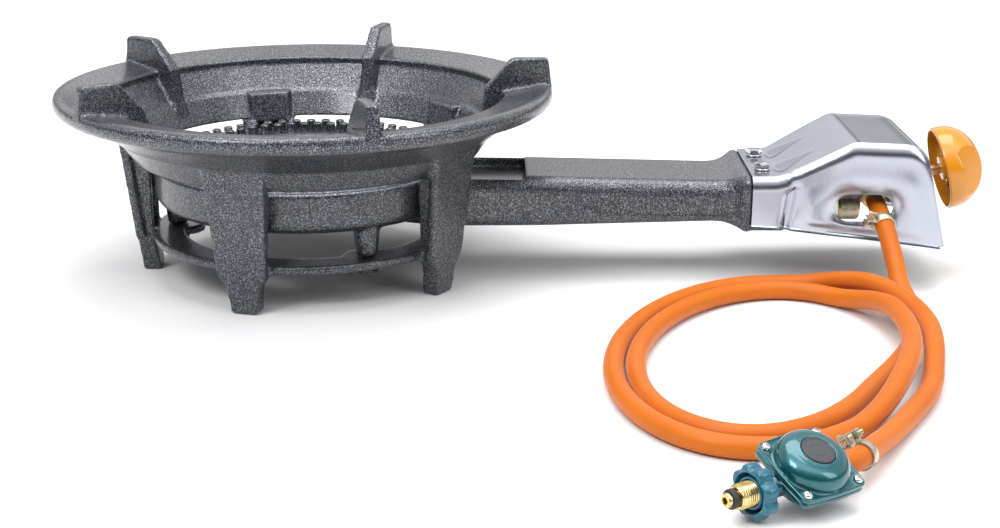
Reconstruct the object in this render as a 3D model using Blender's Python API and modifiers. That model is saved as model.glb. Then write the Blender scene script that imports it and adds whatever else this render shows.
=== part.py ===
"""Propane burner stand: a cast iron high-pressure gas burner on a five-legged ring stand, with its
control valve under a chromed cover, a coiled gas hose and a regulator.

Sizes are in millimetres and become metres where meshes are made.  The frame is +Z up, with the
burner's mixing neck along +X.  The origin is at the middle of the stand-and-burner's footprint.
"""

import math

import bmesh
import bpy
from mathutils import Matrix, Vector

MM = 0.001
GAP = 0.3                       # clearance between pieces that touch

# Driving dimensions -------------------------------------------------------------------------
RIM_RADIUS = 172.5              # widest radius of the stand's rim
RIM_TOP = 131.2                 # height of the rim above the floor
PRONG_TOP = 149.5               # height of the pot supports
SKIRT_BOTTOM = 84.4             # lower edge of the cone
LEG_COUNT = 5
STAND_TURN = 2.3                # degrees that the legs and prongs are turned from the neck
RING_TOP = 31.0                 # the flat base ring that ties the legs together
RING_THICKNESS = 5.5
RING_OUTER = 110.0
RING_INNER = 87.0

BOWL_RADIUS = 107.0             # burner bowl, outside
BOWL_BOTTOM = 50.5
BOWL_TOP = 79.0
BOWL_WALL = 5.5
PEG_RADIUS_FROM_AXIS = 94.0
PEG_ANGLES = (180.0, 60.0, -60.0)

NECK_END = 288.0                # where the neck starts to flare into its flange
FLANGE_LIP = 307.5
FLANGE_FACE = 332.0
COVER_END_TOP = 428.0           # the cover's leaning end, at its top and bottom edges
COVER_END_BOTTOM = 443.0
VALVE_TILT = 14.0               # degrees that the valve spindle rises away from the burner
VALVE_CENTRE = (384.0, 0.0, 57.0)
KNOB_RADIUS = 30.0
KNOB_BACK = 64.2                # from the valve's centre to the back rim of the knob

HOSE_DIAMETER = 12.5
REGULATOR_CENTRE = (288.3, -402.8, 20.0)
REGULATOR_YAW = 34.0            # degrees, the way from inlet to outlet
REGULATOR_TILT = 25.0
REGULATOR_HALF = 16.7           # half the distance between neighbouring cover screws

KNOB_TIP = KNOB_BACK + KNOB_RADIUS
TILT = math.radians(VALVE_TILT)
MODEL_END = VALVE_CENTRE[0] + KNOB_BACK * math.cos(TILT) + KNOB_RADIUS
BURNER_X = (RIM_RADIUS - MODEL_END) / 2.0

SMOOTH_ANGLE = math.radians(32.0)


# Scene, materials and object helpers --------------------------------------------------------
def clear_scene():
    for item in list(bpy.data.objects):
        bpy.data.objects.remove(item, do_unlink=True)


def new_collection(name):
    collection = bpy.data.collections.new(name)
    bpy.context.scene.collection.children.link(collection)
    return collection


clear_scene()
PARTS = new_collection("propane_burner_stand")
CUTTERS = new_collection("shaping_bodies")


def material(name, colour, metallic, roughness):
    made = bpy.data.materials.new(name)
    made.use_nodes = True
    shader = made.node_tree.nodes["Principled BSDF"]
    shader.inputs["Base Color"].default_value = (*colour, 1.0)
    shader.inputs["Metallic"].default_value = metallic
    shader.inputs["Roughness"].default_value = roughness
    made.diffuse_color = (*colour, 1.0)
    return made


HAMMERTONE = material("hammertone_cast_iron", (0.17, 0.175, 0.19), 0.75, 0.42)
CHROME = material("chrome_cover", (0.80, 0.81, 0.83), 1.0, 0.12)
ZINC_YELLOW = material("yellow_zinc_valve", (0.62, 0.55, 0.33), 0.9, 0.35)
BRASS = material("brass", (0.78, 0.58, 0.24), 1.0, 0.28)
BRONZE = material("bronze_spindle", (0.55, 0.33, 0.16), 1.0, 0.38)
STEEL = material("bright_screws", (0.72, 0.73, 0.74), 1.0, 0.25)
DARK_STEEL = material("black_bolts", (0.10, 0.10, 0.11), 0.9, 0.45)
KNOB_YELLOW = material("knob_plastic", (0.95, 0.48, 0.02), 0.0, 0.22)
HOSE_ORANGE = material("hose_rubber", (0.88, 0.27, 0.02), 0.0, 0.35)
TEAL = material("regulator_paint", (0.01, 0.25, 0.28), 0.55, 0.25)
GREY_CAP = material("regulator_cap", (0.13, 0.14, 0.15), 0.0, 0.55)
BLUE = material("handwheel_plastic", (0.01, 0.17, 0.30), 0.0, 0.35)
BLACK_RUBBER = material("black_rubber", (0.02, 0.02, 0.02), 0.0, 0.6)


def empty(name, place, rotation=(0.0, 0.0, 0.0), parent=None):
    made = bpy.data.objects.new(name, None)
    made.location = Vector(place) * MM
    made.rotation_euler = rotation
    made.parent = parent
    PARTS.objects.link(made)
    return made


BURNER = empty("burner_axis", (BURNER_X, 0.0, 0.0))
VALVE = empty("valve_axis", VALVE_CENTRE, (0.0, -TILT, 0.0), BURNER)
REGULATOR = empty(
    "regulator_frame", REGULATOR_CENTRE,
    (math.radians(REGULATOR_TILT), 0.0, math.radians(REGULATOR_YAW)), BURNER,
)
ALONG_X = (0.0, math.radians(90.0), 0.0)       # turns a piece made along Z to lie along +X


def finish_mesh(mesh, body):
    body.normal_update()
    body.to_mesh(mesh)
    body.free()
    mesh.shade_smooth()
    mesh.set_sharp_from_angle(angle=SMOOTH_ANGLE)


def piece(name, body, paint, parent=BURNER, place=(0.0, 0.0, 0.0), rotation=(0.0, 0.0, 0.0)):
    """A named object from a bmesh in millimetres."""
    bmesh.ops.scale(body, vec=(MM, MM, MM), verts=body.verts)
    mesh = bpy.data.meshes.new(name)
    finish_mesh(mesh, body)
    made = bpy.data.objects.new(name, mesh)
    made.data.materials.append(paint)
    made.parent = parent
    made.location = Vector(place) * MM
    made.rotation_euler = rotation
    PARTS.objects.link(made)
    return made


def as_cutter(made):
    """Moves an object to the shaping bodies, which the model leaves out."""
    PARTS.objects.unlink(made)
    CUTTERS.objects.link(made)
    made.hide_render = True
    made.display_type = "WIRE"
    return made


def boolean(target, other, operation):
    as_cutter(other)
    modifier = target.modifiers.new(other.name, "BOOLEAN")
    modifier.operation = operation
    modifier.solver = "EXACT"
    modifier.object = other


def join(target, other):
    boolean(target, other, "UNION")


def cut(target, other):
    boolean(target, other, "DIFFERENCE")


# Shape helpers ------------------------------------------------------------------------------
def add_screw(made, steps):
    screw = made.modifiers.new("turn", "SCREW")
    screw.axis = "Z"
    screw.angle = 2.0 * math.pi
    screw.steps = steps
    screw.render_steps = steps
    screw.use_merge_vertices = True
    screw.merge_threshold = 0.00001
    screw.use_smooth_shade = False


def turned(name, profile, steps, paint, closed=False, **where):
    """A turned piece: (radius, height) points that run down its outer side, about local Z."""
    body = bmesh.new()
    points = [body.verts.new((radius, 0.0, height)) for radius, height in profile]
    for first, second in zip(points, points[1:]):
        body.edges.new((first, second))
    if closed:
        body.edges.new((points[-1], points[0]))
    made = piece(name, body, paint, **where)
    add_screw(made, steps)
    return made


def arc(centre, radius, start, end, count):
    """Points on an arc in the profile plane, angles in degrees."""
    angles = [math.radians(start + (end - start) * i / count) for i in range(count + 1)]
    return [(centre[0] + radius * math.cos(a), centre[1] + radius * math.sin(a)) for a in angles]


def cylinder_body(radius, length, sides=24, tip_radius=None):
    """A cylinder or cone from z = 0 up to its length."""
    body = bmesh.new()
    bmesh.ops.create_cone(
        body, cap_ends=True, segments=sides, radius1=radius,
        radius2=radius if tip_radius is None else tip_radius, depth=length,
        matrix=Matrix.Translation((0.0, 0.0, length / 2.0)),
    )
    return body


def cylinder(name, radius, length, paint, sides=24, tip_radius=None, **where):
    return piece(name, cylinder_body(radius, length, sides, tip_radius), paint, **where)


def box_body(low, high):
    body = bmesh.new()
    size = [b - a for a, b in zip(low, high)]
    middle = [(a + b) / 2.0 for a, b in zip(low, high)]
    bmesh.ops.create_cube(body, size=1.0)
    bmesh.ops.scale(body, vec=size, verts=body.verts)
    bmesh.ops.translate(body, vec=middle, verts=body.verts)
    return body


def box(name, low, high, paint, **where):
    return piece(name, box_body(low, high), paint, **where)


def plate(name, outline, thickness, paint, holes=(), **where):
    """A flat outline in local XY, extruded evenly either side of z = 0."""
    curve = bpy.data.curves.new(name, "CURVE")
    curve.dimensions = "2D"
    curve.fill_mode = "BOTH"
    curve.extrude = thickness / 2.0
    for loop in (outline, *holes):
        spline = curve.splines.new("POLY")
        spline.points.add(len(loop) - 1)
        for point, (x, y) in zip(spline.points, loop):
            point.co = (x, y, 0.0, 1.0)
        spline.use_cyclic_u = True
    guide = bpy.data.objects.new(name + "_outline", curve)
    PARTS.objects.link(guide)
    bpy.context.view_layer.update()
    depsgraph = bpy.context.evaluated_depsgraph_get()
    flat = bpy.data.meshes.new_from_object(guide.evaluated_get(depsgraph))
    bpy.data.objects.remove(guide, do_unlink=True)
    body = bmesh.new()
    body.from_mesh(flat)
    bpy.data.meshes.remove(flat)
    bmesh.ops.remove_doubles(body, verts=body.verts, dist=0.001)
    bmesh.ops.recalc_face_normals(body, faces=body.faces)
    return piece(name, body, paint, **where)


def loft_body(rings, caps=True):
    """Skins between rings that have the same number of points, then closes both ends."""
    body = bmesh.new()
    rows = [[body.verts.new(point) for point in ring] for ring in rings]
    count = len(rows[0])
    for lower, upper in zip(rows, rows[1:]):
        for i in range(count):
            j = (i + 1) % count
            body.faces.new((lower[i], lower[j], upper[j], upper[i]))
    if caps:
        body.faces.new(list(reversed(rows[0])))
        body.faces.new(rows[-1])
    bmesh.ops.recalc_face_normals(body, faces=body.faces)
    return body


def rounded_section(half_width, low, high, top_radius, bottom_radius, count=3):
    """A rounded rectangle in (y, z), anticlockwise from its lower right corner."""
    corners = (
        ((half_width - bottom_radius, low + bottom_radius), bottom_radius, -90.0),
        ((half_width - top_radius, high - top_radius), top_radius, 0.0),
        ((-half_width + top_radius, high - top_radius), top_radius, 90.0),
        ((-half_width + bottom_radius, low + bottom_radius), bottom_radius, 180.0),
    )
    points = []
    for centre, radius, start in corners:
        points += arc(centre, radius, start, start + 90.0, count)
    return points


def duct(name, stations, paint, **where):
    """A loft along X of rounded sections, each (x, half width, low, high, top r, bottom r)."""
    rings = []
    for x, half_width, low, high, top_radius, bottom_radius in stations:
        section = rounded_section(half_width, low, high, top_radius, bottom_radius)
        rings.append([(x, y, z) for y, z in section])
    return piece(name, loft_body(rings), paint, **where)


def polar(radius, angle, height=0.0):
    return (
        radius * math.cos(math.radians(angle)), radius * math.sin(math.radians(angle)), height,
    )


def hex_outline(across_flats):
    corner = across_flats / math.sqrt(3.0)
    return [polar(corner, 60.0 * i + 30.0)[:2] for i in range(6)]


def bevel(made, width, segments=2, angle=40.0):
    modifier = made.modifiers.new("edges", "BEVEL")
    modifier.width = width * MM
    modifier.segments = segments
    modifier.limit_method = "ANGLE"
    modifier.angle_limit = math.radians(angle)


def tube(name, points, diameter, paint, resolution=2, parent=BURNER):
    """A round tube on a poly spline, for a hose or a wire."""
    curve = bpy.data.curves.new(name, "CURVE")
    curve.dimensions = "3D"
    curve.bevel_depth = diameter / 2.0 * MM
    curve.bevel_resolution = resolution
    curve.use_fill_caps = True
    spline = curve.splines.new("POLY")
    spline.points.add(len(points) - 1)
    for point, place in zip(spline.points, points):
        point.co = (*(Vector(place) * MM), 1.0)
    made = bpy.data.objects.new(name, curve)
    made.data.materials.append(paint)
    made.parent = parent
    PARTS.objects.link(made)
    return made


# The stand: rim, cone, prongs, legs and base ring in one casting ------------------------------
RIM_PROFILE = (
    (139.0, 126.0), (167.0, RIM_TOP), (171.2, 130.2), (RIM_RADIUS, 127.0), (172.2, 123.2),
    (169.4, 119.8), (149.5, 113.4), (130.5, 99.2), (119.6, SKIRT_BOTTOM),
    (112.0, SKIRT_BOTTOM), (125.4, 103.6), (139.0, 123.4),
)
PRONG_OUTLINE = (
    (172.4, 127.0), (169.6, 148.5), (168.0, PRONG_TOP), (146.0, PRONG_TOP), (143.0, 148.0),
    (125.2, 128.8), (122.0, 106.0), (113.8, 87.6), (117.0, 87.6), (128.0, 101.0),
    (146.0, 114.5), (168.0, 122.5),
)
PRONG_THICKNESS = 9.4
LEG_SECTIONS = (                # height, half width, inner and outer distance from the axis
    (0.0, 9.6, 105.5, 118.0),
    (17.0, 10.8, 106.5, 119.9),
    (21.5, 12.6, 107.5, 120.4),
    (24.0, 15.4, 108.2, 120.7),
    (27.0, 17.2, 108.5, 121.0),
    (79.0, 20.4, 108.5, 126.9),
    (84.5, 20.8, 116.0, 127.5),
    (103.5, 22.0, 116.5, 129.8),
)
CHANNEL_SECTIONS = (
    (32.0, 12.0, 100.0, 115.6),
    (84.0, 15.6, 100.0, 121.2),
)


def leg_block(name, sections):
    rings = []
    for height, half_width, inner, outer in sections:
        rings.append([
            (inner, -half_width, height), (outer, -half_width, height),
            (outer, half_width, height), (inner, half_width, height),
        ])
    return piece(name, loft_body(rings), HAMMERTONE)


def turn_about_axis(made, angle):
    made.rotation_euler = (0.0, 0.0, math.radians(angle))
    return made


def prong_angle(number):
    return STAND_TURN + 360.0 / LEG_COUNT * number


def leg_angle(number):
    return prong_angle(number + 0.5)


def make_stand():
    stand = turned("stand_casting", RIM_PROFILE, 52, HAMMERTONE, closed=True)
    ring_profile = (
        (RING_INNER, RING_TOP), (RING_OUTER, RING_TOP),
        (RING_OUTER - 1.0, RING_TOP - RING_THICKNESS),
        (RING_INNER + 1.0, RING_TOP - RING_THICKNESS),
    )
    legs = [
        turn_about_axis(leg_block(f"leg_{i + 1}_block", LEG_SECTIONS), leg_angle(i))
        for i in range(LEG_COUNT)
    ]
    channels = [
        turn_about_axis(leg_block(f"leg_{i + 1}_channel", CHANNEL_SECTIONS), leg_angle(i))
        for i in range(LEG_COUNT)
    ]
    for leg in legs:
        bevel(leg, 1.6, 1)
        join(stand, leg)
    join(stand, turned("base_ring", ring_profile, 44, HAMMERTONE, closed=True))
    for i, angle in enumerate(PEG_ANGLES):
        lug = cylinder(
            f"ring_lug_{i + 1}", 16.0, RING_THICKNESS - 0.1, HAMMERTONE, 20,
            place=polar(PEG_RADIUS_FROM_AXIS - 3.0, angle, RING_TOP - RING_THICKNESS + 0.05),
        )
        join(stand, lug)
    for channel in channels:
        cut(stand, channel)
    for i in range(LEG_COUNT):
        prong = plate(
            f"prong_{i + 1}", PRONG_OUTLINE, PRONG_THICKNESS, HAMMERTONE,
            rotation=(math.radians(90.0), 0.0, math.radians(prong_angle(i))),
        )
        bevel(prong, 1.2, 1, 25.0)
        join(stand, prong)
    for i, angle in enumerate(PEG_ANGLES):
        hole = cylinder(
            f"lug_hole_{i + 1}", 4.4, 20.0, HAMMERTONE, 12,
            place=polar(PEG_RADIUS_FROM_AXIS, angle, RING_TOP - 12.0),
        )
        cut(stand, hole)
    return stand


# The burner: bowl, mixing neck and flange in one casting, and the head that drops into it ------
BOWL_INNER = BOWL_RADIUS - BOWL_WALL
BOWL_FLOOR = BOWL_BOTTOM + 5.5
SEAT_HEIGHT = 70.0
BOWL_PROFILE = (
    [(0.0, BOWL_FLOOR), (92.0, BOWL_FLOOR), (97.0, 61.0), (97.0, SEAT_HEIGHT),
     (BOWL_INNER, SEAT_HEIGHT), (BOWL_INNER, BOWL_TOP - 0.8), (BOWL_INNER + 1.0, BOWL_TOP),
     (BOWL_RADIUS - 1.2, BOWL_TOP), (BOWL_RADIUS, BOWL_TOP - 1.4)]
    + arc((BOWL_RADIUS - 10.0, BOWL_BOTTOM + 10.0), 10.0, 0.0, -90.0, 4)
    + [(0.0, BOWL_BOTTOM)]
)
NECK_STATIONS = (               # x, half width, low, high, top corner radius, bottom corner radius
    (60.0, 34.0, 41.0, 54.5, 4.0, 5.0),
    (103.0, 37.0, 37.6, 54.5, 4.0, 5.0),
    (103.5, 37.0, 37.6, 74.0, 8.0, 6.0),
    (165.0, 37.0, 38.0, 73.2, 8.0, 6.0),
    (NECK_END, 37.0, 41.4, 71.0, 8.0, 6.0),
    (296.0, 39.5, 40.2, 73.0, 8.0, 7.0),
    (302.0, 45.0, 36.5, 75.6, 8.0, 8.0),
    (305.0, 47.4, 34.6, 76.6, 8.0, 8.0),
    (FLANGE_LIP, 47.4, 34.6, 76.6, 8.0, 8.0),
    (FLANGE_LIP + 0.2, 44.4, 37.4, 74.6, 6.0, 6.0),
    (FLANGE_FACE, 44.4, 37.4, 74.6, 6.0, 6.0),
)
DUCT_STATIONS = (
    (66.0, 26.0, 44.5, 62.0, 7.0, 7.0),
    (150.0, 26.0, 44.5, 62.0, 7.0, 7.0),
    (290.0, 11.0, 45.0, 67.0, 10.9, 10.9),
    (312.0, 11.0, 45.0, 67.0, 10.9, 10.9),
    (FLANGE_FACE + 1.0, 16.0, 40.4, 72.0, 15.7, 15.7),
)
COVER_SCREW_X = 318.0
COVER_SCREW_Y = 21.0


def make_burner_body():
    body = turned("burner_body", BOWL_PROFILE, 44, HAMMERTONE)
    join(body, duct("neck_block", NECK_STATIONS, HAMMERTONE))
    for i, angle in enumerate(PEG_ANGLES):
        peg = cylinder(
            f"peg_{i + 1}", 7.0, 22.0, HAMMERTONE, 16, 9.2,
            place=polar(PEG_RADIUS_FROM_AXIS, angle, RING_TOP + GAP),
        )
        join(body, peg)
    boss = cylinder(
        "head_boss", 10.0, 16.0, HAMMERTONE, 16, place=(0.0, 0.0, BOWL_FLOOR - 1.0),
    )
    join(body, boss)
    cut(body, duct("mixing_passage", DUCT_STATIONS, HAMMERTONE))
    cut(body, box("neck_recess", (109.0, -31.5, 67.2), (153.5, 31.5, 80.0), HAMMERTONE))
    for i, angle in enumerate(PEG_ANGLES):
        thread = cylinder(
            f"peg_thread_{i + 1}", 4.0, 16.0, HAMMERTONE, 12,
            place=polar(PEG_RADIUS_FROM_AXIS, angle, RING_TOP - 1.0),
        )
        cut(body, thread)
    cut(body, cylinder(
        "head_thread", 4.0, 14.0, HAMMERTONE, 12, place=(0.0, 0.0, BOWL_FLOOR + 2.0),
    ))
    for i, side in enumerate((-1.0, 1.0)):
        cut(body, cylinder(
            f"cover_thread_{i + 1}", 2.3, 12.0, HAMMERTONE, 10,
            place=(COVER_SCREW_X, side * COVER_SCREW_Y, 66.0),
        ))
    return body


HEAD_PROFILE = (
    (0.0, 75.2), (73.5, 75.2), (76.0, 78.4), (80.0, 78.8), (100.2, 79.4), (BOWL_INNER - GAP, 78.0),
    (BOWL_INNER - GAP, SEAT_HEIGHT + GAP), (97.6, SEAT_HEIGHT + GAP), (96.6, 74.6),
    (78.0, 74.2), (74.0, 71.4), (0.0, 71.4),
)
NUB_COUNT = 54
NUB_ROWS = ((94.6, 78.4, 0.2), (86.0, 78.2, 0.7))      # radius, base height, shift in steps
NUB_HEIGHT = 7.4
PORT_ROW_RADIUS = 66.0
PORT_COUNT = 24
PORT_TURN = 3.0                 # degrees
PORT_RADIUS = 1.9


def many_cylinders(places, radius, length, sides, tip_radius=None):
    body = bmesh.new()
    for x, y, z in places:
        bmesh.ops.create_cone(
            body, cap_ends=True, segments=sides, radius1=radius,
            radius2=radius if tip_radius is None else tip_radius, depth=length,
            matrix=Matrix.Translation((x, y, z + length / 2.0)),
        )
    return body


def make_burner_head():
    head = turned("burner_head", HEAD_PROFILE, 44, HAMMERTONE)
    nubs = []
    for radius, base, shift in NUB_ROWS:
        nubs += [polar(radius, 360.0 / NUB_COUNT * (i + shift), base) for i in range(NUB_COUNT)]
    join(head, piece("nubs", many_cylinders(nubs, 3.4, NUB_HEIGHT, 4, 2.8), HAMMERTONE))
    ports = [
        polar(PORT_ROW_RADIUS, 360.0 / PORT_COUNT * i + PORT_TURN, 65.0) for i in range(PORT_COUNT)
    ]
    cut(head, piece("ports", many_cylinders(ports, PORT_RADIUS, 16.0, 5), HAMMERTONE))
    cut(head, cylinder("head_bolt_hole", 4.4, 20.0, HAMMERTONE, 12, place=(0.0, 0.0, 62.0)))
    return head


def hex_bolt(name, across_flats, head_height, shank_radius, shank_length, paint, **where):
    """A bolt whose head starts at local z = 0 and whose shank goes down."""
    bolt = cylinder(name, across_flats / math.sqrt(3.0), head_height, paint, 6, **where)
    place = Vector(where.get("place", (0.0, 0.0, 0.0)))
    rotation = where.get("rotation", (0.0, 0.0, 0.0))
    shank = cylinder_body(shank_radius, shank_length + 1.0, 10)
    bmesh.ops.translate(shank, vec=(0.0, 0.0, -shank_length), verts=shank.verts)
    join(bolt, piece(name + "_shank", shank, paint, where.get("parent", BURNER), place, rotation))
    return bolt


def make_burner_fixings():
    hex_bolt("head_bolt", 13.0, 5.3, 3.6, 15.0, DARK_STEEL, place=(0.0, 0.0, 75.2 + GAP))
    for i, angle in enumerate(PEG_ANGLES):
        hex_bolt(
            f"burner_bolt_{i + 1}", 13.0, 5.3, 3.6, 15.0, DARK_STEEL,
            place=polar(PEG_RADIUS_FROM_AXIS, angle, RING_TOP - RING_THICKNESS - GAP),
            rotation=(math.pi, 0.0, 0.0),
        )


# The chromed cover over the valve ------------------------------------------------------------
COVER_THICKNESS = 1.0
COVER_STATIONS = (              # top x, top z, bottom x, bottom z, half width, corner radius
    (308.6, 76.4, 308.6, 42.8, 46.2, 6.0),
    (328.0, 76.6, 328.0, 39.6, 46.4, 6.0),
    (343.0, 84.4, 343.0, 37.2, 47.0, 7.0),
    (360.0, 93.4, 360.0, 35.0, 47.8, 8.0),
    (377.0, 101.6, 377.0, 33.2, 48.6, 8.0),
    (415.0, 100.2, 422.0, 27.6, 49.0, 8.0),
    (422.5, 96.6, 436.0, 26.0, 49.0, 8.0),
    (COVER_END_TOP, 90.4, COVER_END_BOTTOM, 25.2, 48.6, 8.0),
)
COVER_FLARE = 1.4               # how much wider the cover is at its lower edge
HOSE_HOLE_X = (374.0, 397.6)    # centres of the hole's round ends
HOSE_HOLE_Z = 53.9
HOSE_HOLE_RADIUS = 9.4


def cover_section(station):
    top_x, top_z, bottom_x, bottom_z, half_width, radius = station
    side = [
        (half_width + COVER_FLARE, bottom_z),
        (half_width + COVER_FLARE * 0.4, (bottom_z + top_z) / 2.0),
    ]
    corner = arc((half_width - radius, top_z - radius), radius, 0.0, 90.0, 3)
    half = side + corner
    outline = [(-y, z) for y, z in half] + [(y, z) for y, z in reversed(half)]
    lean = (top_x - bottom_x) / (top_z - bottom_z)
    return [(bottom_x + lean * (z - bottom_z), y, z) for y, z in outline]


def make_cover():
    body = bmesh.new()
    rows = [[body.verts.new(point) for point in cover_section(s)] for s in COVER_STATIONS]
    for near, far in zip(rows, rows[1:]):
        for i in range(len(near) - 1):
            body.faces.new((near[i], far[i], far[i + 1], near[i + 1]))
    end = rows[-1]
    last = len(end) - 1
    for i in range(len(end) // 2 - 1):
        body.faces.new((end[i], end[last - i], end[last - i - 1], end[i + 1]))
    cover = piece("valve_cover", body, CHROME)
    shell = cover.modifiers.new("shell", "SOLIDIFY")
    shell.thickness = COVER_THICKNESS * MM
    shell.offset = -1.0
    shell.use_even_offset = True
    left, right = HOSE_HOLE_X
    slot = (
        arc((right, HOSE_HOLE_Z), HOSE_HOLE_RADIUS, -90.0, 90.0, 8)
        + arc((left, HOSE_HOLE_Z), HOSE_HOLE_RADIUS, 90.0, 270.0, 8)
    )
    cut(cover, plate(
        "hose_hole", slot, 24.0, CHROME, place=(0.0, -48.0, 0.0),
        rotation=(math.radians(90.0), 0.0, 0.0),
    ))
    cut(cover, cylinder(
        "spindle_hole", 6.4, 30.0, CHROME, 20, parent=VALVE, place=(36.0, 0.0, 0.0),
        rotation=ALONG_X,
    ))
    for i, side in enumerate((-1.0, 1.0)):
        cut(cover, cylinder(
            f"cover_screw_hole_{i + 1}", 2.6, 10.0, CHROME, 12,
            place=(COVER_SCREW_X, side * COVER_SCREW_Y, 72.0),
        ))
    return cover


def make_cover_screws():
    for i, side in enumerate((-1.0, 1.0)):
        name = f"cover_screw_{i + 1}"
        place = (COVER_SCREW_X, side * COVER_SCREW_Y, 76.5 + GAP)
        screw = hex_bolt(name, 10.0, 4.6, 2.0, 9.0, STEEL, place=place)
        slot = box(
            name + "_slot", (-6.0, -0.6, 3.2), (6.0, 0.6, 6.0), STEEL, place=place,
            rotation=(0.0, 0.0, math.radians(35.0)),
        )
        cut(screw, slot)


# The valve: body, jet, bonnet, spindle, packing nut, lock nut and hose barb --------------------
INLET_DROP = math.radians(10.0)          # the hose barb points towards -Y and this much down
INLET_START = Vector((396.0, 0.0, 61.5))
INLET_WAY = Vector((0.0, -math.cos(INLET_DROP), -math.sin(INLET_DROP)))
TO_INLET = (math.radians(90.0) + INLET_DROP, 0.0, 0.0)
BARB_START = 19.0
BARB_SHOULDER = 27.0


def along_inlet(distance):
    return tuple(INLET_START + INLET_WAY * distance)


def make_valve():
    body = cylinder(
        "valve_body", 10.8, 40.0, ZINC_YELLOW, 24, parent=VALVE, place=(-16.0, 0.0, 0.0),
        rotation=ALONG_X,
    )
    bevel(body, 1.5, 2)
    join(body, cylinder(
        "inlet_block", 10.2, 15.8, ZINC_YELLOW, 24, place=(371.4, -18.0, 50.6), rotation=ALONG_X,
    ))
    join(body, cylinder(
        "inlet_boss", 8.0, BARB_START, ZINC_YELLOW, 20, place=tuple(INLET_START),
        rotation=TO_INLET,
    ))
    join(body, cylinder(
        "outlet_boss", 7.5, 26.0, ZINC_YELLOW, 20, place=(352.0, 0.0, 56.0), rotation=ALONG_X,
    ))
    cut(body, cylinder(
        "bonnet_seat", 7.2, 30.0, ZINC_YELLOW, 20, parent=VALVE, place=(12.0, 0.0, 0.0),
        rotation=ALONG_X,
    ))
    cut(body, cylinder(
        "needle_chamber", 4.6, 30.0, ZINC_YELLOW, 16, parent=VALVE, place=(3.0, 0.0, 0.0),
        rotation=ALONG_X,
    ))
    cut(body, cylinder(
        "inlet_passage", 3.0, 40.0, ZINC_YELLOW, 10, place=along_inlet(2.0), rotation=TO_INLET,
    ))
    cut(body, cylinder(
        "outlet_passage", 3.6, 40.0, ZINC_YELLOW, 10, place=(340.0, 0.0, 56.0), rotation=ALONG_X,
    ))

    jet = cylinder("jet", 5.2, 8.0, BRASS, 6, place=(343.6, 0.0, 56.0), rotation=ALONG_X)
    join(jet, cylinder(
        "jet_tip", 2.2, 14.0, BRASS, 12, 4.0, place=(330.0, 0.0, 56.0), rotation=ALONG_X,
    ))
    join(jet, cylinder(
        "jet_thread", 3.3, 12.0, BRASS, 12, place=(348.0, 0.0, 56.0), rotation=ALONG_X,
    ))
    cut(jet, cylinder(
        "jet_bore", 0.9, 60.0, BRASS, 8, place=(320.0, 0.0, 56.0), rotation=ALONG_X,
    ))

    bonnet = turned(
        "valve_bonnet",
        ((4.3, 57.0), (5.4, 57.0), (5.9, 56.4), (5.9, 48.0), (9.0, 48.0), (9.0, 25.0),
         (6.9, 24.6), (6.9, 13.0), (4.3, 13.0)),
        20, BRASS, closed=True, parent=VALVE, rotation=ALONG_X,
    )
    nut = plate(
        "bonnet_nut", hex_outline(15.0), 3.0, BRASS,
        holes=([polar(6.3, 360.0 / 16 * i)[:2] for i in range(16)],),
        parent=VALVE, place=(52.4, 0.0, 0.0), rotation=ALONG_X,
    )
    spindle = turned(
        "valve_spindle",
        ((0.0, 84.0), (3.0, 84.0), (3.5, 83.0), (3.5, 58.2), (4.0, 57.6), (4.0, 16.0), (1.0, 6.0),
         (0.0, 6.0)),
        16, BRONZE, parent=VALVE, rotation=ALONG_X,
    )
    barb = turned(
        "hose_barb",
        ((2.6, BARB_SHOULDER - 0.3), (3.6, BARB_SHOULDER - 0.3), (3.6, 25.0), (8.2, 25.0),
         (8.2, BARB_START + GAP), (2.6, BARB_START + GAP)),
        12, BRASS, closed=True, place=tuple(INLET_START), rotation=TO_INLET,
    )
    return body, jet, bonnet, nut, spindle, barb


# The knob -------------------------------------------------------------------------------------
def make_knob():
    """A hollow half dome with a thin rim, a hub inside it and two flat faces to grip."""
    outer = [(KNOB_RADIUS * math.cos(math.radians(a)), 5.0 + (KNOB_RADIUS - 5.0)
              * math.sin(math.radians(a))) for a in (90, 78, 66, 54, 42, 30, 18, 8, 0)]
    outer[0] = (0.0, KNOB_RADIUS)
    inner_radius = KNOB_RADIUS - 2.0
    inner = [((inner_radius - 4.0) * math.cos(math.radians(a)), 4.0 + (inner_radius - 9.0)
              * math.sin(math.radians(a))) for a in (0, 20, 42, 62)]
    profile = outer + [(KNOB_RADIUS - 0.4, 0.0), (inner_radius, 0.0)] + inner
    profile += [(8.6, 21.0), (8.4, 1.0), (0.0, 1.0)]
    knob = turned(
        "knob", profile, 32, KNOB_YELLOW, parent=VALVE, place=(KNOB_BACK, 0.0, 0.0),
        rotation=ALONG_X,
    )
    for i, side in enumerate((-1.0, 1.0)):
        flat = box_body((0.0, 0.0, -50.0), (50.0, 40.0, 50.0))
        cut(knob, piece(
            f"knob_flat_{i + 1}", flat, KNOB_YELLOW, VALVE,
            (KNOB_BACK + 7.0, side * 27.5, 0.0),
            (0.0 if side > 0 else math.pi, 0.0, math.radians(side * -24.0)),
        ))
    cut(knob, cylinder(
        "knob_bore", 3.8, 26.0, KNOB_YELLOW, 16, parent=VALVE, place=(KNOB_BACK - 4.0, 0.0, 0.0),
        rotation=ALONG_X,
    ))
    return knob


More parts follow.
